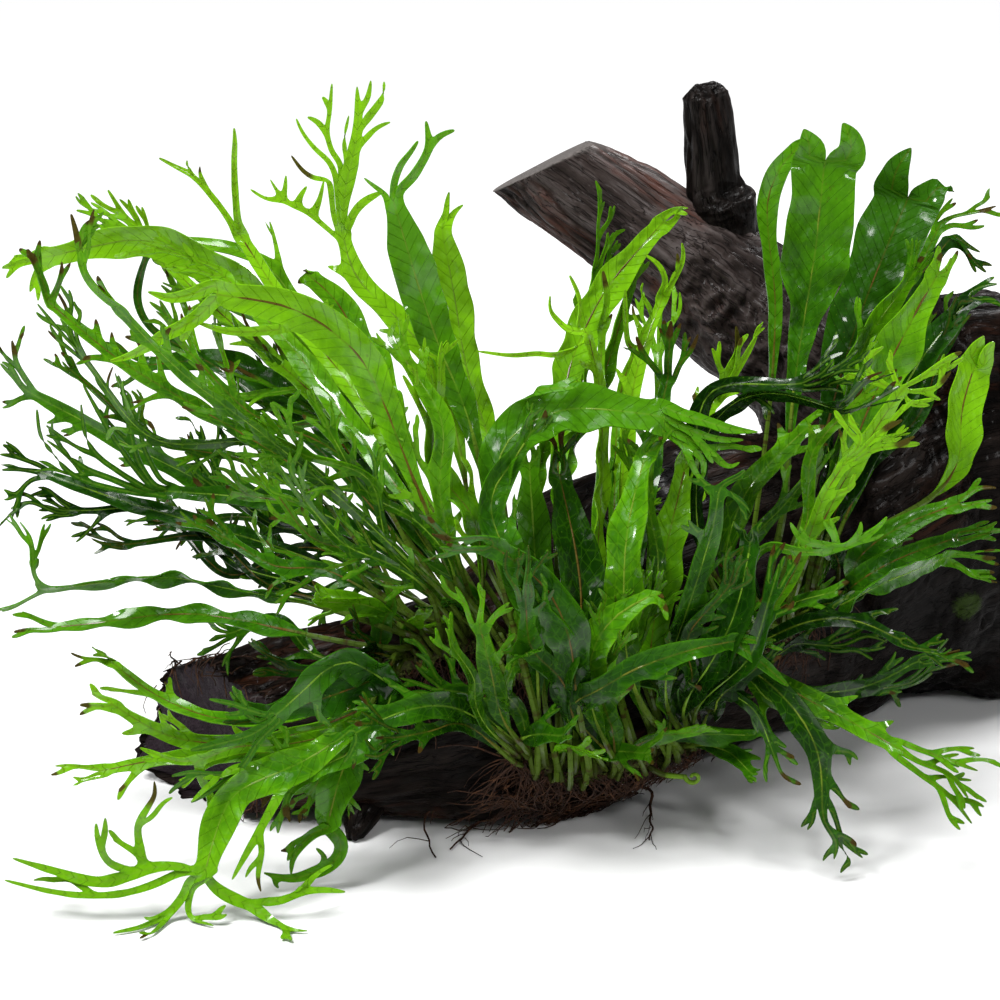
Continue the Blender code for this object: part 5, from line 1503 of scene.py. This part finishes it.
def growFrond(sheet, stems, route, sideAt, frond, targets, lobeTargets, rng):
    # the blade as a sheet along the route, its fingers and teeth, then the stem
    frond = plainFrond | frond
    seed = rng.uniform(0, 40)
    browned = rng.choice((0.0, 0.1, 0.45)) if frond["browned"] is None else frond["browned"]
    frond = dict(frond, seed=seed, browned=browned, joints=[])
    columns = max(4 if frond["width"] < 12 else 6, len(targets))
    shares, grid = growBlade(sheet, route, sideAt, frond, columns, rng)
    if targets:
        growTips(sheet, route, sideAt, frond, grid[-1], targets, rng)
    for sprig in frond["sprigs"]:
        growSprig(sheet, sprig, frond, rng)
    used = set()
    spots = list(lobeTargets)
    lowest, shortest, longest = frond["lace"]
    for _ in range(frond["teeth"]):
        share = rng.uniform(lowest, 0.97)
        hand = rng.choice((1, -1))
        across = sideAt(share)
        root = route.at(share) + across * hand * halfWidth(share, frond)
        heading = (route.along(share) * rng.uniform(0.8, 1.6) + across * hand).normalized()
        spots.append((share, root + heading * rng.uniform(shortest, longest)))
    for share, target in spots:
        row = min(range(len(shares) - 1),
                  key=lambda i: abs((shares[i] + shares[i + 1]) / 2 - share))
        ahead, across = route.along(share), sideAt(share)
        away = target - route.at(share)
        hand = 0 if away.dot(across) > 0 else -1
        if (row, hand) in used:
            continue
        used.update({(row, hand), (row + 1, hand), (row - 1, hand)})
        outward = across if hand == 0 else -across
        depth = 0 if away.length > frondShape["sprigReach"] else 1
        growFinger(sheet, [grid[row][hand], grid[row + 1][hand]], outward + ahead,
                   across.cross(ahead), target, share * route.length, frond, rng, depth)
    growStem(stems, route, frond)


def readNode(name):
    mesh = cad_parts[name].data
    points = np.array([tuple(v.co) for v in mesh.vertices])
    faces = [p.vertices[:] for p in mesh.polygons]
    pairs = np.array([(face[i], face[i - 1]) for face in faces for i in range(len(face))])
    tree = BVHTree.FromPolygons([tuple(p) for p in points], faces)
    return {"points": points, "pairs": pairs, "tree": tree}


def nearestToLine(cad, px, py, back):
    line = lineTo(px, py).normalized()
    hit, _, _, _ = cad["tree"].ray_cast(eye, line)
    if hit:
        return hit
    start = (place(px, py, back) - eye).length
    found = [cad["tree"].find_nearest(eye + line * (start + step * 0.002))
             for step in range(-35, 36)]
    return min(found, key=lambda f: f[3])[0]


def sectionOf(cad, centre, along, reach):
    # middle and side direction of the node where a plane crosses it, near centre
    gap = (cad["points"] - np.array(centre)) @ np.array(along)
    first, second = cad["pairs"][:, 0], cad["pairs"][:, 1]
    crosses = gap[first] * gap[second] < 0
    a, b = first[crosses], second[crosses]
    if len(a) < 4:
        return None
    part = (gap[a] / (gap[a] - gap[b]))[:, None]
    hits = cad["points"][a] * (1 - part) + cad["points"][b] * part
    away = np.linalg.norm(hits - np.array(centre), axis=1)
    if away.min() > 0.012:
        return None
    hits = hits[np.linalg.norm(hits - hits[away.argmin()], axis=1) < reach]
    middle = hits.mean(axis=0)
    axes = np.linalg.svd(hits - middle)[2]
    spread = (hits - middle) @ axes[0]
    middle = middle + axes[0] * (spread.max() + spread.min()) / 2
    return Vector(middle), Vector(axes[0])


def rootedAt(group, foot):      # a point inside the rhizome behind a frond's foot
    route = rhizomeRoutes[group][0]
    middle = min((route.at(k / 40) for k in range(41)), key=lambda p: (p - foot).length)
    return middle.lerp(foot, 0.35)


def followNode(name, frond, rhizomeTree, group):
    # the route and sides of a CAD frond, read from its sections along the picture's route
    cad = readNode(name)
    distances = [rhizomeTree.find_nearest(Vector(p))[3] for p in cad["points"]]
    nearest = cad["points"][int(np.argmin(distances))]
    around = np.linalg.norm(cad["points"] - nearest, axis=1) < 0.0026
    foot = Vector(cad["points"][around].mean(axis=0))
    guide = [foot] + [nearestToLine(cad, *row) for row in frond["route"]]
    reach = frond["width"] / 1000 * 1.1 + 0.002
    for _ in range(2):
        route = Route(guide)
        count = max(7, round(route.length / 0.008))
        centres, sides = [foot], []
        for k in range(1, count + 1):
            share = k / count * 0.995
            found = sectionOf(cad, route.at(share), route.along(share), reach)
            if found and (found[0] - centres[-1]).length > 0.002:
                centres.append(found[0])
                sides.append(found[1])
        guide = centres
    for _ in range(2):
        inner = [(a + b * 2 + c) / 4 for a, b, c in zip(centres, centres[1:], centres[2:])]
        centres = [centres[0]] + inner + [centres[-1]]
    route = Route([rootedAt(group, foot)] + centres)
    sides = [sides[0], sides[0]] + sides
    facing = route.along(0.7).cross(look)
    middle = int(len(sides) * 0.7)
    if sides[middle].dot(facing) < 0:
        sides[middle] = -sides[middle]
    for order in (range(middle + 1, len(sides)), range(middle - 1, -1, -1)):
        before = sides[middle]
        for k in order:
            if sides[k].dot(before) < 0:
                sides[k] = -sides[k]
            before = sides[k]
    table = np.array([tuple(s) for s in sides])
    shares = np.linspace(0, 1, len(sides))

    def sideAt(share):
        return Vector([np.interp(share, shares, table[:, k]) for k in range(3)]).normalized()

    return route, sideAt


def turnedSides(route, roll):
    def sideAt(share):
        along = route.along(share)
        return Matrix.Rotation(roll, 3, along) @ along.cross(look).normalized()
    return sideAt


companions = {
    "perFrond": {"left": 4, "front": 2, "right": 1},
    # light: ranges for companions and for fronds with none given; the darker front and right
    # ranges are painted shade among the fronds
    "light": {"left": (0.0, 0.55), "front": (-0.42, 0.02), "right": (-0.45, 0.0)},
    "width": {"left": (0.34, 0.62), "front": (0.50, 0.85), "right": (0.45, 0.8)},
    "least": {"left": 4.0, "front": 5.5, "right": 5.0},
    "sway": {"left": (0.03, 0.09), "front": (0.02, 0.06), "right": (0.02, 0.05)},
    "teeth": {"left": (4, 7), "front": (1, 4), "right": (1, 3)},
    "lace": {"left": (0.42, 0.007, 0.021), "front": (0.6, 0.006, 0.015),
             "right": (0.68, 0.006, 0.014)},
    "shorter": {"left": (0.45, 0.92), "front": (0.55, 0.95), "right": (0.6, 1.0)},
    "aside": (0.004, 0.017),
    "young": {"left": 8, "front": 7, "right": 8},
    "youngLength": (0.024, 0.060),
}

# fronds seen between the named ones: neighbour, share along the rhizome, then as above
between = [
    ("left_frond_06", 0.08, leaf(12, [(398, 690, -110), (358, 664, -124), (331, 666, -130),
        (308, 686, -132), (286, 706, -132)], [[2.3, (270, 722), (250, 734), (222, 742),
        (190, 750)], [1.3, (264, 714), (248, 708), (230, 702), (209, 699)], [1.0, (262, 722),
        (248, 716), (238, 704), (230, 692)], [1.3, (272, 728), (258, 742), (240, 770), (208, 793),
        (191, 802)]], tone="dark", light=0.5, prongs=1, teeth=1, ruffle=0.6, stalk=0.2,
        browned=0.0)),
    ("left_frond_01", 0.22, leaf(13, [(390, 700, -108), (374, 728, -122), (350, 752, -127),
        (318, 768, -129)], [[2.3, (294, 776), (272, 790), (262, 808)], [1.7, (298, 784),
        (286, 800), (290, 822)], [1.4, (302, 764), (284, 752), (272, 735)]], light=0.3, prongs=1,
        teeth=0, ruffle=0.7, stalk=0.2, browned=0.2)),
    ("left_frond_03", 0.3, leaf(6, [(376, 716, -108), (300, 742, -122), (240, 746, -128),
        (205, 758, -130)], [[1.9, (202, 778), (210, 796), (220, 812)], [1.5, (184, 762),
        (160, 756), (140, 748)]], light=0.3, prongs=1, teeth=1, browned=0.0)),
    ("left_frond_09", 0.45, leaf(9, [(430, 590, -72), (370, 540, -40), (300, 505, -14),
        (230, 496, 0), (178, 492, 6)], [[1.4, (155, 486), (138, 461), (129, 427), (123, 392),
        (118, 375)], [1.2, (152, 487), (135, 467), (115, 438), (98, 409), (83, 384)], [1.3,
        (147, 489), (121, 473), (100, 458), (86, 438), (81, 404)], [1.5, (143, 491), (109, 478),
        (83, 467), (63, 450), (52, 432), (53, 420)], [1.2, (141, 494), (100, 486), (72, 474),
        (56, 455), (43, 438), (37, 409)], [1.2, (161, 480), (145, 450), (139, 421), (141, 392)]],
        tone="bright", light=0.35, prongs=1, teeth=1)),
    ("left_frond_10", 0.6, leaf(10, [(446, 580, -66), (408, 520, -30), (366, 462, 0),
        (336, 424, 12)], [[1.2, (320, 404), (298, 381), (281, 352), (267, 320)], [1.1, (314, 404),
        (286, 380), (262, 350), (246, 326), (241, 308)], [1.1, (310, 408), (287, 396), (258, 381),
        (240, 371), (228, 360)], [1.0, (308, 416), (282, 410), (254, 414), (228, 412), (210, 398)],
        [1.1, (326, 402), (312, 374), (300, 346), (290, 318)]], tone="dark", light=0.3, prongs=1,
        teeth=2)),
    ("left_frond_13", 0.72, leaf(4, [(440, 590, -75), (330, 460, -10), (232, 378, 30),
        (181, 347, 36), (156, 333, 37), (142, 315, 37), (137, 295, 37), (141, 272, 37),
        (146, 258, 37)], [[1.2, (145, 250), (141, 240)], [0.9, (151, 253), (155, 246)], [0.6,
        (155, 264), (164, 264), (173, 264)]], tone="dark", light=0.4, prongs=0, teeth=0,
        browned=1.0)),
    ("middle_frond_04", 0.42, leaf(4, [(590, 640, -84), (597, 520, -44), (604, 430, -14),
        (601, 372, 2), (602, 334, 5)], [[1.3, (604, 318), (607, 296), (603, 271)], [0.8,
        (608, 322), (612, 314)]], tone="dark", light=0.4, prongs=0, teeth=0, browned=1.0)),
    ("middle_frond_09", 0.62, leaf(4, [(612, 650, -84), (614, 520, -50), (616, 440, -24),
        (622, 386, -8), (634, 356, -4)], [[1.3, (642, 334), (652, 316), (645, 300), (640, 292),
        (643, 283)], [1.0, (628, 344), (626, 325), (625, 290)]], tone="bright", light=0.4,
        prongs=0, teeth=0, browned=0.3)),
    ("middle_frond_06", 0.55, leaf(10, [(572, 712, -104), (598, 690, -118), (640, 667, -124),
        (690, 650, -120), (728, 642, -112)], [[2.4, (748, 652), (768, 668), (788, 686)], [1.5,
        (752, 640), (776, 640)]], light=0.0, prongs=1, teeth=1, ruffle=0.6, stalk=0.1)),
    ("left_frond_15", 0.8, leaf(9, [(455, 570, -78), (370, 450, -40), (290, 345, -8),
        (230, 282, 6)], [(172, 265), (138, 242)], tone="bright")),
    ("left_frond_18", 0.62, leaf(15, [(455, 590, -74), (405, 450, -16), (366, 356, 28),
        (338, 304, 42), (314, 280, 46)], [(303, 271), (298, 283)], light=0.15, prongs=0, teeth=0,
        ruffle=0.6, stalk=0.45)),
    ("middle_frond_05", 0.3, leaf(14, [(545, 700, -96), (538, 600, -84), (530, 475, -62)],
        [(524, 440), (538, 446)])),
    ("middle_frond_12", 0.8, leaf(14, [(650, 680, -88), (664, 560, -80), (684, 472, -66)],
        [(690, 440), (702, 452)], tone="dark")),
    ("right_frond_01", 0.35, leaf(4, [(748, 610, -84), (750, 566, -96), (768, 545, -101),
        (792, 551, -103), (819, 552, -103)], [[1.5, (843, 547), (863, 537), (878, 527),
        (887, 517)]], sprigs=[[1.4, (822, 549), (803, 540), (790, 522)], [1.4, (834, 548),
        (834, 533), (830, 517)], [1.2, (854, 541), (860, 532), (861, 521)]], light=0.6, prongs=1,
        teeth=0, stalk=0.3, browned=0.0)),
    ("right_frond_07", 0.3, leaf(7, [(742, 590, -40), (762, 470, -20), (772, 380, -8),
        (775, 300, 2), (768, 232, 8), (768, 199, 10), (779, 170, 10), (795, 150, 10)], [[2.0,
        (806, 142), (812, 140)]], tone="bright", light=0.7, prongs=0, teeth=0, stalk=0.52,
        browned=0.0, outline=(1.0, 1.6, 2.6, 2.8, 3.4, 3.0, 4.4, 4.2, 3.0))),
    ("right_frond_12", 0.45, leaf(5, [(768, 620, -82), (800, 560, -92), (822, 500, -96),
        (840, 470, -97)], [[1.5, (858, 458), (878, 448), (896, 446), (915, 436)], [1.2, (854, 452),
        (862, 436), (848, 424)], [1.1, (862, 450), (880, 432), (902, 420)]], tone="bright",
        light=0.5, prongs=2, teeth=2, stalk=0.3)),
]


def footOn(group, share, towards, rng):
    route, normals = rhizomeRoutes[group]
    direction = (towards - route.at(share)).normalized()
    spread = drawn(rng, (-0.3, 0.3), 0, (-0.7, 0.6))
    outward = (normalAt(normals, share) + direction * 0.7 + spread).normalized()
    return route.at(share) + outward * rhizomes["radius"] * 0.4, outward


def fanOut(route, sideAt, rng, amount, size):
    end, along, side = route.at(1.0), route.along(1.0), sideAt(1.0)
    face = side.cross(along)
    out = []
    for k in range(amount):
        turn = (k + 0.5) / amount * 2 - 1 if amount > 1 else 0
        turn = turn * 0.52 + rng.uniform(-0.12, 0.12)
        direction = along * math.cos(turn) + side * math.sin(turn) + face * rng.uniform(-0.3, 0.3)
        direction += Vector((0, 0, 0.25))
        out.append(end + direction.normalized() * size * rng.uniform(0.6, 1.2))
    return out


def keepInside(points):
    return [inBox(clearOfWood(p, 0.0035), 0.004) for p in points]


def addCompanion(sheet, stems, route, frond, group, rng):
    # a frond that leaves the same rhizome and follows its neighbour
    share = rng.uniform(*companions["shorter"][group])
    aside = rng.uniform(*companions["aside"]) * rng.choice((1, -1))
    deeper = rng.uniform(-0.005, 0.018)
    sway = rng.uniform(*companions["sway"][group]) * route.length * share * rng.choice((1, -1))
    points = []
    for k in range(1, 6):
        t = k / 5 * share
        along = route.along(t)
        across = along.cross(look).normalized()
        out = aside * (k / 5) ** 0.7 + sway * math.sin(k * 1.9)
        points.append(route.at(t) + across * out + look * deeper * k / 5)
    position = min(max(frond["position"] + rng.uniform(-0.12, 0.12), 0.02), 0.98)
    base, outward = footOn(group, position, points[0], rng)
    points = keepInside([base + outward * 0.007] + points[1:])
    line = Route([base] + points)
    sideAt = turnedSides(line, math.radians(rng.uniform(-50, 50)))
    width = frond["width"] * rng.uniform(*companions["width"][group])
    width = min(max(companions["least"][group], width), 12)
    young = {"width": width, "teeth": rng.randint(*companions["teeth"][group]), "end": 0.90,
             "finger": 0.65 + width * 0.035, "lace": companions["lace"][group],
             "stalk": rng.uniform(0.26, 0.42),
             # painted shade: a companion is darker than its neighbour
             "light": max(-0.42, min(frond["light"], 0.50) + rng.uniform(-0.55, 0.0)),
             "prongs": rng.choice((1, 1, 2)), "ruffle": rng.uniform(0.2, 0.5),
             "rise": rng.uniform(0.8, 1.2)}
    amount = rng.choice((4, 5, 6)) if group == "left" else rng.choice((3, 4, 5))
    targets = keepInside(fanOut(line, sideAt, rng, amount, rng.uniform(0.013, 0.028)))
    growFrond(sheet, stems, line, sideAt, young, targets, [], rng)


def addYoung(sheet, stems, group, share, rng):
    # a short young frond among the stalks
    route, normals = rhizomeRoutes[group]
    length = rng.uniform(*companions["youngLength"])
    spread = drawn(rng, (-0.8, 0.8), (-0.2, 0.5), 1.0)
    heading = (normalAt(normals, share) * rng.uniform(0.5, 1.0) + spread).normalized()
    base = route.at(share) + heading * rhizomes["radius"] * 0.4
    sag = drawn(rng, (-0.5, 0.5), (-0.4, 0.2), -0.6)
    points = [base + heading * length * t + sag * length * t * t * 0.5
              for t in (0.12, 0.4, 0.7, 1.0)]
    line = Route([base] + keepInside(points))
    sideAt = turnedSides(line, math.radians(rng.uniform(-60, 60)))
    frond = {"width": rng.uniform(6, 10), "light": rng.uniform(-0.15, 0.35), "teeth": 1,
             "finger": 1.0, "stalk": 0.34}
    targets = keepInside(fanOut(line, sideAt, rng, rng.choice((1, 2, 3)), 0.010))
    growFrond(sheet, stems, line, sideAt, frond, targets, [], rng)


def tipPlaces(tips, back):
    out = []
    for tip in tips:
        if isinstance(tip, list):
            path = [placeAbove(px, py, back, frondShape["lowest"]) for px, py in tip[1:]]
            out.append({"half": tip[0], "path": path})
        else:
            out.append(placeAbove(*tip, back, frondShape["lowest"]))
    return out


def addBetween(sheet, stems, group, share, frond, rng):
    points = [place(*row) for row in frond["route"]]
    endBack = points[-1].y * 1000
    base, outward = footOn(group, share, points[0], rng)
    line = Route([base, base + outward * 0.007] + keepInside(points))
    sides = turnedSides(line, math.radians(rng.uniform(-30, 30)))
    light = 0.4 if frond["light"] is None else frond["light"]
    frond = dict(frond, light=light, teeth=frond["teeth"] or 0,
                 sprigs=tipPlaces(frond["sprigs"], endBack))
    growFrond(sheet, stems, line, sides, frond, tipPlaces(frond["tips"], endBack), [], rng)


def buildFrond(group, node, frond, position, rhizomeTree):
    rng = random.Random(node)
    route, sideAt = followNode(node, frond, rhizomeTree, group)
    light, teeth, crowd = (frond[key] for key in ("light", "teeth", "crowd"))
    light = rng.uniform(*companions["light"][group]) if light is None else light
    drawnTeeth = rng.choice((2, 3, 4)) if frond["width"] <= 10 else 0
    teeth = drawnTeeth if teeth is None else teeth
    endBack = route.at(1.0).y * 1000
    frond = dict(frond, light=light, teeth=teeth, position=position,
                 sprigs=tipPlaces(frond["sprigs"], endBack))
    lobes = [(share, placeAbove(px, py, endBack, frondShape["lowest"]))
             for share, px, py in frond["lobes"]]
    sheet, stems = LeafSheet(), Stems()
    targets = tipPlaces(frond["tips"], endBack)
    growFrond(sheet, stems, route, sideAt, frond, targets, lobes, rng)
    for _ in range(companions["perFrond"][group] if crowd is None else crowd):
        addCompanion(sheet, stems, route, frond, group, rng)
    return sheet, stems, rng


def buildFronds():
    names = {"left": "left", "front": "middle", "right": "right"}
    for group, shapes in fronds.items():
        rhizomeTree = nodeTree(f"rhizome_{group}")
        young = companions["young"][group]
        for index, frond in enumerate(shapes):
            node = f"{names[group]}_frond_{index + 1:02d}"
            position = (index + 0.5) / len(shapes)
            sheet, stems, rng = buildFrond(group, node, frond, position, rhizomeTree)
            if index < young:
                share = (index + rng.uniform(0.2, 0.8)) / min(young, len(shapes))
                addYoung(sheet, stems, group, share, rng)
            for neighbour, share, extra in between:
                if neighbour == node:
                    addBetween(sheet, stems, group, share, extra, rng)
            name = node.replace("_frond_", "Frond")
            material = leafFinishes[frond["tone"]]
            blades = sheet.piece(name, material)
            joinInto(blades, stems.piece(name + "Stems", material))
            bpy.ops.object.shade_smooth_by_angle(angle=math.radians(48))
            declare(blades, "frond_" + frond["tone"], node)
        print(group, "fronds grown")


buildFronds()


fiddlehead = {
    "route": [(641, 762, -74), (662, 774, -78), (686, 777, -80)],
    "coil": 0.0026,
    "wound": 5.9,              # radians
    "steps": 30,
    "radius": (0.0012, 0.0006),
}


def buildFiddlehead():
    coil, steps = fiddlehead["coil"], fiddlehead["steps"]
    foot, narrower = fiddlehead["radius"]
    route = [place(*row) for row in fiddlehead["route"]]
    centre = route[-1] + Vector((coil, 0, coil * 0.2))
    line = [Vector(p) for p in smoothRows(route, 8)]
    for k in range(1, steps + 1):
        turn = math.pi + fiddlehead["wound"] * k / steps
        radius = coil * (1.15 - 0.72 * k / steps)
        line.append(centre + Vector((math.cos(turn) * radius, -coil * k / steps,
                                     math.sin(turn) * radius)))
    stems, count = Stems(), len(line)
    readings = [((0.0, 0.001 * i, 3.0), (0.0, float(i < 10), 0.8)) for i in range(count)]
    stems.tube(line, [foot - narrower * i / count for i in range(count)], 10, readings)
    declare(stems.piece("fiddleheadFrond", leafFinishes["bright"]), "frond_bright", "fiddlehead")
    print("fiddlehead coiled")


buildFiddlehead()


studio = {
    "floorSize": 24.0,
    "floorTone": (0.90, 0.90, 0.90),
    "worldStrength": 0.14,
    "sky": {"from": (-0.45, -0.35, 1.6), "strength": 3.3, "spread": math.radians(24)},
    # place, size in metres, watts; all aimed at the plant
    "lamps": [((-0.75, -0.75, 1.15), 0.17, 8.0), ((0.55, 0.95, 1.10), 0.24, 8.0),
              ((0.9, -0.9, 0.9), 0.14, 3.0), ((0.25, -1.15, 0.95), 0.16, 2.2)],
    "lens": 81,
    "sensor": 36,
}


def aimedAt(spot):
    return (view["aim"] - Vector(spot)).to_track_quat("-Z", "Y").to_euler()


def addLight(name, kind, spot):
    lamp = bpy.data.lights.new(name, kind)
    holder = bpy.data.objects.new(name, lamp)
    bpy.context.scene.collection.objects.link(holder)
    holder.location = spot
    holder.rotation_euler = aimedAt(spot)
    return lamp


def buildStudio():
    bpy.ops.object.select_all(action="DESELECT")
    bpy.ops.mesh.primitive_plane_add(size=studio["floorSize"], location=(0, 0, 0))
    floor = bpy.context.object
    floor.name = "floor"
    paper = Finish("paper")
    floor.data.materials.append(paper.surface({"Base Color": (*studio["floorTone"], 1),
                                               "Roughness": 0.9, "Specular IOR Level": 0.1}))
    scene = bpy.context.scene
    world = bpy.data.worlds.new("studioWhite")
    world.use_nodes = True
    sky = world.node_tree.nodes["Background"]
    sky.inputs["Color"].default_value = (1, 1, 1, 1)
    sky.inputs["Strength"].default_value = studio["worldStrength"]
    scene.world = world
    scene.view_settings.view_transform = "Standard"
    overhead = addLight("overhead", "SUN", studio["sky"]["from"])
    overhead.energy = studio["sky"]["strength"]
    overhead.angle = studio["sky"]["spread"]
    for index, (spot, size, power) in enumerate(studio["lamps"]):
        lamp = addLight(f"softbox{index}", "AREA", spot)
        lamp.size = size
        lamp.energy = power
    camera = bpy.data.cameras.new("camera")
    camera.lens = studio["lens"]
    camera.sensor_width = studio["sensor"]
    camera.dof.use_dof = False
    holder = bpy.data.objects.new("camera", camera)
    scene.collection.objects.link(holder)
    holder.location = eye
    holder.rotation_euler = (math.pi / 2 - view["rise"], 0, 0)
    scene.camera = holder
    print("studio set")


buildStudio()
